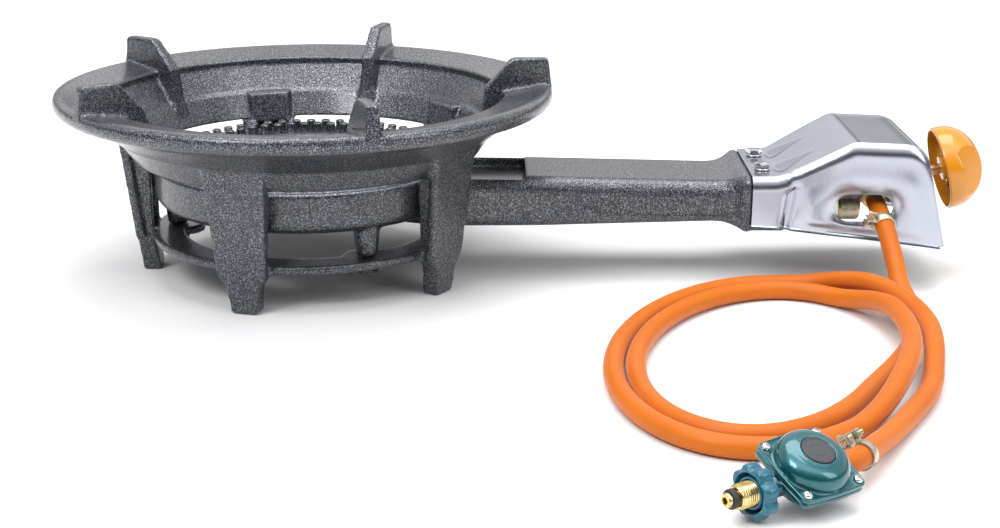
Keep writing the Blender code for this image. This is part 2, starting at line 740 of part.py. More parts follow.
# The hose: a lead from the valve, a loose oval coil on the floor and a tail to the regulator ---
COIL_CENTRE = (301.4, -206.0)
COIL_HALF = (95.0, 148.0)
COIL_TURN = -0.27               # radians that the oval is turned from the axes
COIL_START = -0.15              # coil positions are in turns, clockwise from the +X side
COIL_END = 2.0
HOSE_RADIUS = HOSE_DIAMETER / 2.0
STATION_STEP = 0.0015           # turns between the two sides of a face that a hose end meets
REGULATOR_AXIS = -6.0           # height of the inlet and outlet in the regulator's own frame
OUTLET_END = 25.0


def blend(start, end, t):
    x = min(max((t - start) / (end - start), 0.0), 1.0)
    return x * x * (3.0 - 2.0 * x)


def hump(rise_start, rise_end, fall_start, fall_end, t):
    return blend(rise_start, rise_end, t) * (1.0 - blend(fall_start, fall_end, t))


def coil_offset(t):
    """How far outside the oval the hose lies after t turns."""
    offset = 20.0 - 51.0 * blend(-0.20, 0.06, t)
    return offset + 16.5 * blend(0.04, 0.38, t) + 13.3 * blend(1.00, 1.32, t)


def coil_height(t):
    """The lead comes down to the floor, and the two later passes ride over it."""
    height = HOSE_RADIUS + 30.0 * (1.0 - blend(-0.22, -0.10, t))
    over = hump(0.80, 0.915, 1.02, 1.14, t) + hump(1.73, 1.85, 1.94, 2.05, t)
    return height + (HOSE_DIAMETER + 0.2) * over


def coil_place(turns, offset, height):
    angle = -2.0 * math.pi * turns
    half_x, half_y = COIL_HALF
    normal = Vector((math.cos(angle) / half_x, math.sin(angle) / half_y)).normalized()
    x = half_x * math.cos(angle) + normal.x * offset
    y = half_y * math.sin(angle) + normal.y * offset
    turn_cos, turn_sin = math.cos(COIL_TURN), math.sin(COIL_TURN)
    return (
        COIL_CENTRE[0] + x * turn_cos - y * turn_sin,
        COIL_CENTRE[1] + x * turn_sin + y * turn_cos,
        height,
    )


def coil_point(t):
    return coil_place(t, coil_offset(t), coil_height(t))


def at_regulator(place):
    """A place in the regulator's own frame, in the burner's frame."""
    turn = Matrix.Rotation(math.radians(REGULATOR_YAW), 4, "Z")
    tilt = Matrix.Rotation(math.radians(REGULATOR_TILT), 4, "X")
    return tuple(turn @ tilt @ Vector(place) + Vector(REGULATOR_CENTRE))


LEAD_ROUTE = (                  # chosen by hand, from the barb down to the coil
    along_inlet(BARB_SHOULDER), along_inlet(37.0), (396.2, -50.0, 51.8), (397.6, -62.5, 44.6),
    (399.0, -75.0, 35.6), (400.2, -87.5, 26.0),
)
TAIL_ROUTE = (                  # chosen by hand, from the coil to the regulator's outlet
    (386.0, -252.0, 7.2), (377.8, -272.0, 6.5), (366.6, -292.5, 6.3), (352.5, -317.5, 6.9),
    (340.6, -338.6, 8.9), (332.0, -353.4, 11.2), (327.2, -362.3, 12.6), (322.9, -370.3, 13.8),
    (318.4, -377.3, 14.4), (312.6, -383.2, 14.6),
    at_regulator((OUTLET_END, 0.0, REGULATOR_AXIS)),
)


def smooth_route(points, spacing):
    """Points about evenly spread on a smooth curve through the given ones."""
    points = [Vector(point) for point in points]
    ends = [points[0] * 2.0 - points[1]] + points + [points[-1] * 2.0 - points[-2]]
    route = []
    for a, b, c, d in zip(ends, ends[1:], ends[2:], ends[3:]):
        steps = max(1, round((c - b).length / spacing))
        for i in range(steps):
            t = i / steps
            route.append(
                0.5 * (2.0 * b + (c - a) * t + (2.0 * a - 5.0 * b + 4.0 * c - d) * t ** 2
                       + (3.0 * b - a - 3.0 * c + d) * t ** 3)
            )
    route.append(points[-1])
    return route


def shortened(route, start, end):
    """A route with a little taken off each end."""
    route = list(route)
    route[0] = route[0] + (route[1] - route[0]).normalized() * start
    route[-1] = route[-1] + (route[-2] - route[-1]).normalized() * end
    return route


def coil_section(turns):
    """The outline round every pass of the hose at one place along the oval."""
    passes = [turns + n for n in (-1.0, 0.0, 1.0, 2.0) if COIL_START <= turns + n <= COIL_END]
    inner = min(coil_offset(t) for t in passes) - HOSE_RADIUS
    outer = max(coil_offset(t) for t in passes) + HOSE_RADIUS
    top = max(coil_height(t) for t in passes) + HOSE_RADIUS
    chamfer = HOSE_RADIUS * 0.6
    corners = (
        (outer - chamfer, 0.0), (outer, chamfer), (outer, top - chamfer), (outer - chamfer, top),
        (inner + chamfer, top), (inner, top - chamfer), (inner, chamfer), (inner + chamfer, 0.0),
    )
    return [coil_place(turns, offset, height) for offset, height in corners]


def make_hose():
    """Plain solids: the lead tube, the coil's outer shape and the tail tube."""
    before_lead = 1.0 + COIL_START - STATION_STEP
    stations = [0.0]
    stations += [STATION_STEP + (before_lead - STATION_STEP) * i / 38 for i in range(39)]
    stations += [1.0 + COIL_START * (9 - i) / 9 for i in range(9)]
    rings = [coil_section(turns) for turns in stations]
    piece("hose_coil", loft_body(rings + rings[:1], caps=False), HOSE_ORANGE)

    lead = smooth_route(LEAD_ROUTE + (coil_point(COIL_START),), 8.0)
    tube("hose_lead", shortened(lead, GAP, 3.0), HOSE_DIAMETER, HOSE_ORANGE)
    tail = smooth_route((coil_point(COIL_END), coil_point(COIL_END + 0.02)) + TAIL_ROUTE, 9.0)
    tube("hose_tail", shortened(tail, 6.0, GAP), HOSE_DIAMETER, HOSE_ORANGE)


# The two hose clamps ----------------------------------------------------------------------------
CLAMP_WIDTH = 6.0
CLAMP_INNER = HOSE_RADIUS + 1.8 * GAP
CLAMP_OUTER = CLAMP_INNER + 0.8
EAR_LENGTH = 6.5
EAR_GAP = 3.0


def aligned(way, ears):
    """Euler angles that put local Z along a direction and local X nearest to another."""
    z = Vector(way).normalized()
    x = (Vector(ears) - z * z.dot(Vector(ears))).normalized()
    return tuple(Matrix((x, z.cross(x), z)).transposed().to_euler())


def make_clamp(number, place, way, ears, parent):
    """A pinched band with two ears, its nut and its wing screw, round a hose that runs along way."""
    frame = empty(f"clamp_{number}_frame", place, aligned(way, ears), parent)
    half = CLAMP_WIDTH / 2.0
    band = turned(
        f"clamp_band_{number}",
        ((CLAMP_OUTER, half), (CLAMP_OUTER, -half), (CLAMP_INNER, -half), (CLAMP_INNER, half)),
        24, ZINC_YELLOW, closed=True, parent=frame,
    )
    ear_start = CLAMP_OUTER - 0.5
    for i, side in enumerate((-1.0, 1.0)):
        inside, outside = sorted((side * EAR_GAP / 2.0, side * (EAR_GAP / 2.0 + 0.9)))
        ear = box(
            f"clamp_{number}_ear_{i + 1}", (ear_start, inside, -half),
            (ear_start + EAR_LENGTH, outside, half), ZINC_YELLOW, parent=frame,
        )
        join(band, ear)
    screw_x = ear_start + EAR_LENGTH * 0.62
    across = (math.radians(-90.0), 0.0, 0.0)
    cut(band, cylinder(
        f"clamp_{number}_hole", 1.6, 14.0, ZINC_YELLOW, 10, parent=frame,
        place=(screw_x, -7.0, 0.0), rotation=across,
    ))
    nut_y = EAR_GAP / 2.0 + 0.9 + GAP
    plate(
        f"clamp_nut_{number}", [(-2.4, -2.4), (2.4, -2.4), (2.4, 2.4), (-2.4, 2.4)], 1.8,
        ZINC_YELLOW, holes=([polar(1.6, 45.0 * i)[:2] for i in range(8)],), parent=frame,
        place=(screw_x, nut_y + 0.9, 0.0), rotation=across,
    )
    screw = cylinder(
        f"clamp_screw_{number}", 1.25, 15.5, ZINC_YELLOW, 10, parent=frame,
        place=(screw_x, -8.5, 0.0), rotation=across,
    )
    wing = [(-4.6, -7.6), (-3.2, -8.0), (3.2, -8.0), (4.6, -7.6), (1.5, -2.8), (-1.5, -2.8)]
    join(screw, plate(
        f"clamp_{number}_wing", wing, 1.2, ZINC_YELLOW, parent=frame, place=(screw_x, 0.0, 0.0),
        rotation=(0.0, 0.0, 0.0),
    ))
    return band


# The regulator and its hand connector -------------------------------------------------------------
FLANGE_CORNER = 3.9
FLANGE_BULGE = 21.0
DOME_RADIUS = 19.6
WHEEL_X = -33.0
WHEEL_RADIUS = 13.2
WHEEL_THICKNESS = 9.0
WHEEL_LOBES = 8
SEAL_X = (-50.0, -46.6)
NOSE_END = -52.4
STEM_START = -24.0
TOWARDS_INLET = (0.0, math.radians(-90.0), 0.0)      # local Z runs towards -X


def regulator_outline():
    points = []
    for start, sx, sy in ((-90.0, 1, -1), (0.0, 1, 1), (90.0, -1, 1), (180.0, -1, -1)):
        corner = (sx * REGULATOR_HALF, sy * REGULATOR_HALF)
        points += arc(corner, FLANGE_CORNER, start + 12.0, start + 78.0, 3)
        ahead = math.radians(start + 90.0)
        for side in (-7.0, 7.0):
            along = math.radians(start + 180.0)
            points.append((
                FLANGE_BULGE * math.cos(ahead) + side * math.cos(along),
                FLANGE_BULGE * math.sin(ahead) + side * math.sin(along),
            ))
    return points


def screw_places():
    return [(sx * REGULATOR_HALF, sy * REGULATOR_HALF) for sx, sy in
            ((-1, -1), (1, -1), (1, 1), (-1, 1))]


def make_regulator():
    at = {"parent": REGULATOR}
    axis = (0.0, 0.0, REGULATOR_AXIS)
    body = plate("regulator_body", regulator_outline(), 3.0, TEAL, place=(0.0, 0.0, -1.5), **at)
    bowl_profile = ((0.0, -2.0), (17.0, -2.0), (16.0, -9.0), (14.6, -12.6), (11.5, -14.6), (0.0, -14.8))
    join(body, turned("regulator_bowl", bowl_profile, 26, TEAL, **at))
    join(body, cylinder(
        "inlet_neck", 5.9, -STEM_START, TEAL, 20, place=axis, rotation=TOWARDS_INLET, **at,
    ))
    join(body, cylinder(
        "outlet_neck", 4.2, OUTLET_END, TEAL, 16, place=axis, rotation=ALONG_X, **at,
    ))
    cut(body, turned(
        "regulator_cavity",
        ((0.0, 5.0), (17.6, 5.0), (17.6, -1.0), (13.2, -1.0), (13.2, -9.5), (10.5, -11.4), (0.0, -11.4)),
        20, TEAL, **at,
    ))
    cut(body, cylinder(
        "outlet_hole", 2.4, 60.0, TEAL, 10, place=axis, rotation=ALONG_X, **at,
    ))
    cut(body, cylinder(
        "inlet_hole", 2.0, 60.0, TEAL, 10, place=axis, rotation=TOWARDS_INLET, **at,
    ))
    for i, (x, y) in enumerate(screw_places()):
        cut(body, cylinder(f"body_screw_hole_{i + 1}", 1.7, 12.0, TEAL, 10, place=(x, y, -6.0), **at))

    cover = plate(
        "regulator_cover", regulator_outline(), 2.6, TEAL, place=(0.0, 0.0, GAP + 1.3), **at,
    )
    join(cover, turned(
        "cover_dome",
        ((0.0, 11.4), (9.2, 11.4), (9.4, 12.2), (10.4, 12.2), (13.6, 10.4), (16.6, 7.4),
         (DOME_RADIUS - 0.4, 4.6), (DOME_RADIUS, 2.0), (0.0, 2.0)),
        30, TEAL, **at,
    ))
    cut(cover, turned(
        "cover_hollow",
        ((0.0, 9.8), (9.4, 9.8), (13.0, 8.0), (15.6, 4.6), (16.4, 2.0), (16.4, -3.0), (0.0, -3.0)),
        20, TEAL, **at,
    ))
    cut(cover, cylinder("vent_hole", 0.9, 8.0, TEAL, 8, place=(0.0, 0.0, 7.0), **at))
    for i, (x, y) in enumerate(screw_places()):
        cut(cover, cylinder(f"cover_hole_{i + 1}", 1.7, 12.0, TEAL, 10, place=(x, y, -4.0), **at))

    turned(
        "regulator_cap", ((0.0, 12.9), (8.2, 12.9), (8.8, 12.4), (8.9, 11.4 + GAP), (0.0, 11.4 + GAP)),
        28, GREY_CAP, **at,
    )
    turned("regulator_diaphragm", ((0.0, -0.1), (17.2, -0.1), (17.2, -0.7), (0.0, -0.7)), 24,
           BLACK_RUBBER, **at)
    turned("diaphragm_plate", ((0.0, 1.1), (8.6, 1.1), (8.6, 0.2), (0.0, 0.2)), 24, STEEL, **at)
    turns, wire, radius = 3.0, 1.2, 5.8
    count = 26
    helix = []
    for i in range(count + 1):
        angle = 2.0 * math.pi * turns * i / count
        lift = 1.1 + GAP + wire / 2.0 + (9.8 - 1.1 - 2.0 * GAP - wire) * i / count
        helix.append((radius * math.cos(angle), radius * math.sin(angle), lift))
    tube("regulator_spring", helix, wire, STEEL, 1, REGULATOR)
    box("regulator_lever", (-11.0, -1.6, -5.2), (3.0, 1.6, -4.2), STEEL, **at)
    for i, (x, y) in enumerate(screw_places()):
        name = f"regulator_screw_{i + 1}"
        place = (x, y, GAP + 2.6 + GAP)
        screw = turned(
            name,
            ((0.0, 1.5), (1.5, 1.4), (2.4, 0.8), (2.5, 0.0), (1.3, 0.0), (1.3, -5.2), (0.0, -5.2)),
            14, STEEL, place=place, **at,
        )
        for j, turn in enumerate((0.0, 90.0)):
            slot = box(
                f"{name}_slot_{j + 1}", (-1.4, -0.32, 0.7), (1.4, 0.32, 3.0), STEEL, place=place,
                rotation=(0.0, 0.0, math.radians(turn + 20.0 * i)), **at,
            )
            cut(screw, slot)


def make_connector():
    at = {"parent": REGULATOR, "rotation": TOWARDS_INLET}
    axis = (0.0, 0.0, REGULATOR_AXIS)
    reach = -STEM_START + GAP
    seal_near, seal_far = -SEAL_X[1], -SEAL_X[0]
    stem = turned(
        "inlet_stem",
        ((0.0, -NOSE_END), (2.6, -NOSE_END), (3.5, -NOSE_END - 0.8), (3.6, seal_far + GAP),
         (2.9, seal_far + GAP), (2.9, seal_near - GAP), (4.2, seal_near - GAP - 0.4), (4.2, 27.4),
         (6.2, 27.0), (6.2, reach), (0.0, reach)),
        20, BRASS, place=axis, **at,
    )
    cut(stem, cylinder("nose_socket", 1.7, 16.0, BRASS, 6, place=(-44.0, 0.0, REGULATOR_AXIS), **at))
    cut(stem, cylinder("stem_bore", 1.0, 40.0, BRASS, 6, place=(-20.0, 0.0, REGULATOR_AXIS), **at))
    turned(
        "nose_seal",
        ((5.0, seal_far - 0.8), (5.0, seal_near + 0.8), (4.4, seal_near), (3.2, seal_near),
         (3.2, seal_far), (4.2, seal_far)),
        20, BLACK_RUBBER, closed=True, place=axis, **at,
    )
    turned(
        "connector_sleeve",
        ((6.0, 46.0), (6.7, 45.4), (6.7, 28.0), (4.6, 28.0), (4.6, 46.0)),
        20, BRASS, closed=True, place=axis, **at,
    )
    outline = []
    count = WHEEL_LOBES * 4
    for i in range(count):
        turn = 360.0 * i / count
        swell = math.cos(math.radians(turn * WHEEL_LOBES))
        outline.append(polar(WHEEL_RADIUS + 0.75 * swell, turn)[:2])
    wheel = plate(
        "handwheel", outline, WHEEL_THICKNESS, BLUE, place=(WHEEL_X, 0.0, REGULATOR_AXIS),
        holes=([polar(7.0, 360.0 / 20 * i)[:2] for i in range(20)],), **at,
    )
    dish = turned(
        "wheel_dish", ((7.0 - 1.0, 8.0), (10.4, 8.0), (9.4, 1.8), (8.6, 0.6), (6.0, 0.6)), 24, BLUE,
        closed=True, place=(WHEEL_X, 0.0, REGULATOR_AXIS), **at,
    )
    cut(wheel, dish)


make_stand()
make_burner_body()
make_burner_head()
make_burner_fixings()
make_cover()
make_cover_screws()
make_valve()
make_knob()
make_hose()
CLAMP_NEAR, CLAMP_FAR = Vector(LEAD_ROUTE[2]), Vector(LEAD_ROUTE[3])
make_clamp(1, (CLAMP_NEAR + CLAMP_FAR) / 2.0, CLAMP_FAR - CLAMP_NEAR, (-1.0, 0.0, 0.35), BURNER)
TAIL_NEAR, TAIL_FAR = Vector(TAIL_ROUTE[8]), Vector(TAIL_ROUTE[7])
make_clamp(2, (TAIL_NEAR + TAIL_FAR) / 2.0, TAIL_FAR - TAIL_NEAR, (-0.6, 0.1, 0.75), BURNER)
make_regulator()
make_connector()
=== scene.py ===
"""The looks of a propane burner stand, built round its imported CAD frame.

Pieces are made in millimetres in the burner's frame, whose Z axis runs up through the burner bowl,
and placed in the row frame, in metres, by a matrix.
"""

import math
import random
from math import cos, pi, radians, sin

import bmesh
import bpy
from mathutils import Matrix, Vector


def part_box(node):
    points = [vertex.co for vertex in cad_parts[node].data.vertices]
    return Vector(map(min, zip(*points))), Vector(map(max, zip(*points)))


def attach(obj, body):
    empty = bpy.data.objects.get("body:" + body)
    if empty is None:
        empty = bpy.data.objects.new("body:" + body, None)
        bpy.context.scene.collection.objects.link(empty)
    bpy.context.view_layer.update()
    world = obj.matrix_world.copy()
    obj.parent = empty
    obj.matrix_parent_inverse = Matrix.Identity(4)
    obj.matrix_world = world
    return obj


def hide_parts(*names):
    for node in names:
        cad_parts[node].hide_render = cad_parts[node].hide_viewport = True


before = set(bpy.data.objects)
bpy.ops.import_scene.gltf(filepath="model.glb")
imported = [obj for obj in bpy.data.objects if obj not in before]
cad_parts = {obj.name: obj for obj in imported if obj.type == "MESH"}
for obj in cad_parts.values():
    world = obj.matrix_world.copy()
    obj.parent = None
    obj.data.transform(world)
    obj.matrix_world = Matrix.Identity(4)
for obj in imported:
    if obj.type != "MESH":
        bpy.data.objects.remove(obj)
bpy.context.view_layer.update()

MM = 0.001


def at(x, y, z):
    return Matrix.Translation((x, y, z))


def turned(angle, axis):
    """A turn by an angle in degrees."""
    return Matrix.Rotation(radians(angle), 4, axis)


def around_z(angle):
    return turned(angle, "Z")


HEAD_LOW, HEAD_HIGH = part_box("burner_head")
BURNER_X = (HEAD_LOW.x + HEAD_HIGH.x) / 2.0
BURNER = at(BURNER_X, 0.0, 0.0) @ Matrix.Scale(MM, 4)
VALVE_CENTRE = Vector((384.0, 0.0, 57.0))
VALVE_TILT = 14.0
VALVE_IN_BURNER = Matrix.Translation(VALVE_CENTRE) @ turned(-VALVE_TILT, "Y")
VALVE = BURNER @ VALVE_IN_BURNER
REGULATOR_CENTRE = Vector((288.3, -402.8, 20.0))
REGULATOR_YAW = 34.0
REGULATOR_TILT = 25.0
REGULATOR_TURN = around_z(REGULATOR_YAW) @ turned(REGULATOR_TILT, "X")
REGULATOR = BURNER @ Matrix.Translation(REGULATOR_CENTRE) @ REGULATOR_TURN
ALONG_X = turned(90.0, "Y")
ALONG_MINUS_X = turned(-90.0, "Y")

STAND = "stand"
KNOB_GROUP = "knob_group"
WHEEL_GROUP = "handwheel_group"


def placed(name, data):
    """A new object in the scene."""
    made = bpy.data.objects.new(name, data)
    bpy.context.scene.collection.objects.link(made)
    return made


# Camera -----------------------------------------------------------------------------------------
LENS = 61.2
CAMERA_PLACE = (0.136, -1.171, 0.359)       # metres from the foot of the burner's axis
LOOKS_DOWN = 17.02
CAMERA_ROLL = 0.23


def make_camera():
    data = bpy.data.cameras.new("camera")
    data.lens = LENS
    data.sensor_width = 36.0
    camera = placed("camera", data)
    x, y, z = CAMERA_PLACE
    pitch = turned(90.0 - LOOKS_DOWN, "X")
    camera.matrix_world = at(x + BURNER_X, y, z) @ pitch @ around_z(CAMERA_ROLL)
    bpy.context.scene.camera = camera


# Node helpers -----------------------------------------------------------------------------------
def new_material(name):
    material = bpy.data.materials.new(name)
    material.use_nodes = True
    nodes = material.node_tree.nodes
    nodes.clear()
    output = nodes.new("ShaderNodeOutputMaterial")
    shader = nodes.new("ShaderNodeBsdfPrincipled")
    material.node_tree.links.new(shader.outputs["BSDF"], output.inputs["Surface"])
    return material, shader


def link(owner, source, target):
    """Links two sockets; here and below the owner is a material or the world."""
    owner.node_tree.links.new(source, target)


def node(owner, kind, **values):
    made = owner.node_tree.nodes.new(kind)
    for name, value in values.items():
        setattr(made, name, value)
    return made


def put(made, values):
    """Sets sockets of a node that nothing is linked to."""
    for name, value in values.items():
        made.inputs[name].default_value = value


def noise(owner, scale, detail=2.0, roughness=0.5, distortion=0.0):
    """Clouds over the surface's own place in metres."""
    made = node(owner, "ShaderNodeTexNoise")
    put(made, {"Scale": scale, "Detail": detail, "Roughness": roughness, "Distortion": distortion})
    link(owner, node(owner, "ShaderNodeTexCoord").outputs["Object"], made.inputs["Vector"])
    return made.outputs["Fac"]


def ramp(owner, value, stops):
    made = node(owner, "ShaderNodeValToRGB")
    elements = made.color_ramp.elements
    while len(elements) < len(stops):
        elements.new(0.5)
    for element, (position, colour) in zip(elements, stops):
        element.position = position
        element.color = (*colour, 1.0)
    link(owner, value, made.inputs["Fac"])
    return made.outputs["Color"]


def spread(owner, value, low, high, start=0.0, end=1.0):
    """Maps a value from start..end to low..high."""
    made = node(owner, "ShaderNodeMapRange")
    put(made, {"From Min": start, "From Max": end, "To Min": low, "To Max": high})
    link(owner, value, made.inputs["Value"])
    return made.outputs["Result"]


def mixed(owner, first, second, factor=None, blend="MIX"):
    made = node(owner, "ShaderNodeMix", data_type="RGBA", blend_type=blend)
    if factor is None:
        made.inputs["Factor"].default_value = 1.0
    else:
        link(owner, factor, made.inputs["Factor"])
    link(owner, first, made.inputs[6])
    link(owner, second, made.inputs[7])
    return made.outputs[2]


def bump(material, shader, height, distance, strength=1.0):
    made = node(material, "ShaderNodeBump")
    put(made, {"Distance": distance, "Strength": strength})
    link(material, height, made.inputs["Height"])
    link(material, made.outputs["Normal"], shader.inputs["Normal"])


# Materials --------------------------------------------------------------------------------------
def make_hammertone():
    """Silver enamel that has drawn together into dark and bright flecks about a millimetre across."""
    material, shader = new_material("hammertone_enamel")
    fleck = noise(material, 1200.0, 2.0, 0.6, distortion=0.5)
    broad = noise(material, 28.0, 2.0)
    colours = ramp(material, fleck, (
        (0.37, (0.007, 0.008, 0.010)), (0.47, (0.024, 0.026, 0.032)),
        (0.55, (0.078, 0.083, 0.100)), (0.66, (0.34, 0.355, 0.40)),
    ))
    tint = ramp(material, broad, ((0.3, (0.82, 0.83, 0.86)), (0.7, (1.0, 1.0, 1.0))))
    link(material, mixed(material, colours, tint, blend="MULTIPLY"), shader.inputs["Base Color"])
    put(shader, {"Metallic": 0.70, "Coat Weight": 0.8, "Coat Roughness": 0.20})
    link(material, spread(material, fleck, 0.44, 0.27, 0.35, 0.7), shader.inputs["Roughness"])
    bump(material, shader, fleck, 0.00040)
    return material


def make_chrome():
    material, shader = new_material("pressed_chrome")
    grain = noise(material, 900.0, 1.0)
    wave = noise(material, 30.0, 1.0)
    colours = ramp(material, wave, ((0.3, (0.45, 0.465, 0.525)), (0.7, (0.485, 0.50, 0.56))))
    link(material, colours, shader.inputs["Base Color"])
    put(shader, {"Metallic": 1.0})
    link(material, spread(material, grain, 0.19, 0.27, 0.3, 0.7), shader.inputs["Roughness"])
    bump(material, shader, wave, 0.0003, 0.25)
    return material


def make_metal(name, dark, light, roughness):
    material, shader = new_material(name)
    cloud = noise(material, 260.0, 3.0, 0.6)
    link(material, ramp(material, cloud, ((0.35, dark), (0.65, light))), shader.inputs["Base Color"])
    put(shader, {"Metallic": 1.0})
    low, high = roughness
    link(material, spread(material, cloud, low, high, 0.3, 0.7), shader.inputs["Roughness"])
    bump(material, shader, cloud, 0.00006)
    return material


def make_zinc():
    """Yellow-passivated zinc: straw with pink and green bloom."""
    material, shader = new_material("yellow_zinc")
    bloom = noise(material, 55.0, 2.0, 0.5, distortion=1.2)
    colours = ramp(material, bloom, (
        (0.34, (0.42, 0.40, 0.24)), (0.46, (0.60, 0.54, 0.36)), (0.55, (0.66, 0.50, 0.44)),
        (0.68, (0.50, 0.47, 0.26)),
    ))
    link(material, colours, shader.inputs["Base Color"])
    put(shader, {"Metallic": 0.95})
    haze = spread(material, noise(material, 400.0), 0.26, 0.42, 0.3, 0.7)
    link(material, haze, shader.inputs["Roughness"])
    bump(material, shader, noise(material, 320.0, 3.0), 0.00008)
    return material


def make_plastic(name, dark, light, roughness, grain_scale, grain_depth, coat=0.0, gloss=0.5):
    material, shader = new_material(name)
    cloud = noise(material, 24.0, 2.0)
    link(material, ramp(material, cloud, ((0.3, dark), (0.7, light))), shader.inputs["Base Color"])
    low, high = roughness
    haze = spread(material, noise(material, grain_scale * 0.5), low, high, 0.3, 0.7)
    link(material, haze, shader.inputs["Roughness"])
    put(shader, {"Coat Weight": coat, "Coat Roughness": 0.08, "Specular IOR Level": gloss})
    bump(material, shader, noise(material, grain_scale, 2.0), grain_depth)
    return material


def make_teal():
    """Metallic teal paint with a clear coat."""
    material, shader = new_material("regulator_paint")
    flake = noise(material, 2600.0, 1.0)
    broad = noise(material, 60.0, 2.0)
    base = ramp(material, flake, ((0.40, (0.001, 0.066, 0.084)), (0.62, (0.004, 0.150, 0.172))))
    tint = ramp(material, broad, ((0.3, (0.88, 0.88, 0.88)), (0.7, (1.0, 1.0, 1.0))))
    link(material, mixed(material, base, tint, blend="MULTIPLY"), shader.inputs["Base Color"])
    put(shader, {"Metallic": 0.65, "Coat Weight": 1.0, "Coat Roughness": 0.05})
    link(material, spread(material, flake, 0.28, 0.40), shader.inputs["Roughness"])
    bump(material, shader, broad, 0.0003, 0.4)
    return material


make_camera()
HAMMERTONE = make_hammertone()
CHROME = make_chrome()
ZINC = make_zinc()
BRASS = make_metal("turned_brass", (0.62, 0.45, 0.17), (0.83, 0.65, 0.31), (0.16, 0.30))
BRONZE = make_metal("bronze", (0.42, 0.24, 0.10), (0.62, 0.38, 0.18), (0.28, 0.42))
STEEL = make_metal("bright_zinc", (0.60, 0.61, 0.63), (0.80, 0.81, 0.83), (0.12, 0.26))
BLACK_STEEL = make_metal("black_oxide", (0.030, 0.030, 0.033), (0.085, 0.085, 0.09), (0.38, 0.55))
KNOB_PLASTIC = make_plastic(
    "knob_plastic", (0.59, 0.222, 0.006), (0.65, 0.252, 0.008), (0.16, 0.22), 500.0, 0.00002, 0.4)
HOSE_RUBBER = make_plastic(
    "hose_rubber", (0.50, 0.116, 0.006), (0.56, 0.138, 0.008), (0.38, 0.48), 900.0, 0.00003, 0.0, 0.22)
TEAL = make_teal()
CAP_PLASTIC = make_plastic(
    "cap_plastic", (0.040, 0.042, 0.048), (0.060, 0.063, 0.070), (0.45, 0.6), 900.0, 0.00008)
WHEEL_PLASTIC = make_plastic(
    "handwheel_plastic", (0.007, 0.090, 0.140), (0.012, 0.125, 0.180), (0.22, 0.34), 600.0,
    0.00005, 0.2)
BLACK_RUBBER = make_plastic(
    "black_rubber", (0.010, 0.010, 0.011), (0.022, 0.022, 0.024), (0.45, 0.6), 800.0, 0.00006)


# Mesh helpers -----------------------------------------------------------------------------------
def mesh_from(name, body):
    """A mesh from a bmesh, which is freed."""
    mesh = bpy.data.meshes.new(name)
    body.to_mesh(mesh)
    body.free()
    return mesh


def show(name, replaces, body, material, place=BURNER, rides=STAND, sharp=35.0):
    """A finished piece from a bmesh in millimetres, which stands for one or more CAD nodes."""
    bmesh.ops.transform(body, matrix=place, verts=body.verts)
    mesh = mesh_from(name, body)
    mesh.shade_smooth()
    mesh.set_sharp_from_angle(angle=radians(sharp))
    mesh.materials.append(material)
    piece = placed(name, mesh)
    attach(piece, rides)
    if replaces:
        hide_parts(*replaces)
    return piece


def scratch(body):
    """A throwaway object in millimetres that modifiers can work on."""
    return placed("scratch", mesh_from("scratch", body))


def modify(made, kind, **values):
    modifier = made.modifiers.new(kind, kind)
    for name, value in values.items():
        setattr(modifier, name, value)


def worked(made):
    """The evaluated mesh of a throwaway object as a bmesh, and the object is removed."""
    depsgraph = bpy.context.evaluated_depsgraph_get()
    mesh = bpy.data.meshes.new_from_object(made.evaluated_get(depsgraph))
    body = bmesh.new()
    body.from_mesh(mesh)
    bpy.data.meshes.remove(mesh)
    bpy.data.objects.remove(made, do_unlink=True)
    return body


def merged(*bodies):
    """One bmesh that holds several."""
    total = bmesh.new()
    for body in bodies:
        mesh = mesh_from("merge", body)
        total.from_mesh(mesh)
        bpy.data.meshes.remove(mesh)
    return total


def less(body, *cutters):
    """A body with other bodies cut out of it."""
    made = scratch(body)
    tools = [scratch(cutter) for cutter in cutters]
    for tool in tools:
        modify(made, "BOOLEAN", operation="DIFFERENCE", solver="EXACT", object=tool)
    result = worked(made)
    for tool in tools:
        bpy.data.objects.remove(tool, do_unlink=True)
    return result


def cast(body, voxel, rounds=3):
    """Fuses overlapping solids into one skin with softened corners, as a casting has."""
    made = scratch(body)
    modify(made, "REMESH", mode="VOXEL", voxel_size=voxel)
    modify(made, "SMOOTH", factor=0.5, iterations=rounds)
    return worked(made)


def rounded_edges(body, width, segments=2, angle=35.0):
    """A body whose sharp edges are rounded."""
    made = scratch(body)
    modify(made, "BEVEL", width=width, segments=segments, limit_method="ANGLE",
           angle_limit=radians(angle))
    return worked(made)


def moved(body, matrix):
    bmesh.ops.transform(body, matrix=matrix, verts=body.verts)
    return body


def skin(rings, closed_rings=True, caps=True, closed_path=False):
    """Faces between rings that have the same number of points."""
    body = bmesh.new()
    rows = [[body.verts.new(point) for point in ring] for ring in rings]
    pairs = list(zip(rows, rows[1:]))
    if closed_path:
        pairs.append((rows[-1], rows[0]))
    count = len(rows[0])
    for lower, upper in pairs:
        for i in range(count if closed_rings else count - 1):
            j = (i + 1) % count
            body.faces.new((lower[i], lower[j], upper[j], upper[i]))
    if caps and not closed_path and closed_rings:
        body.faces.new(list(reversed(rows[0])))
        body.faces.new(rows[-1])
    bmesh.ops.recalc_face_normals(body, faces=body.faces)
    return body


def round_about(radius, angle, height):
    return (radius * cos(angle), radius * sin(angle), height)


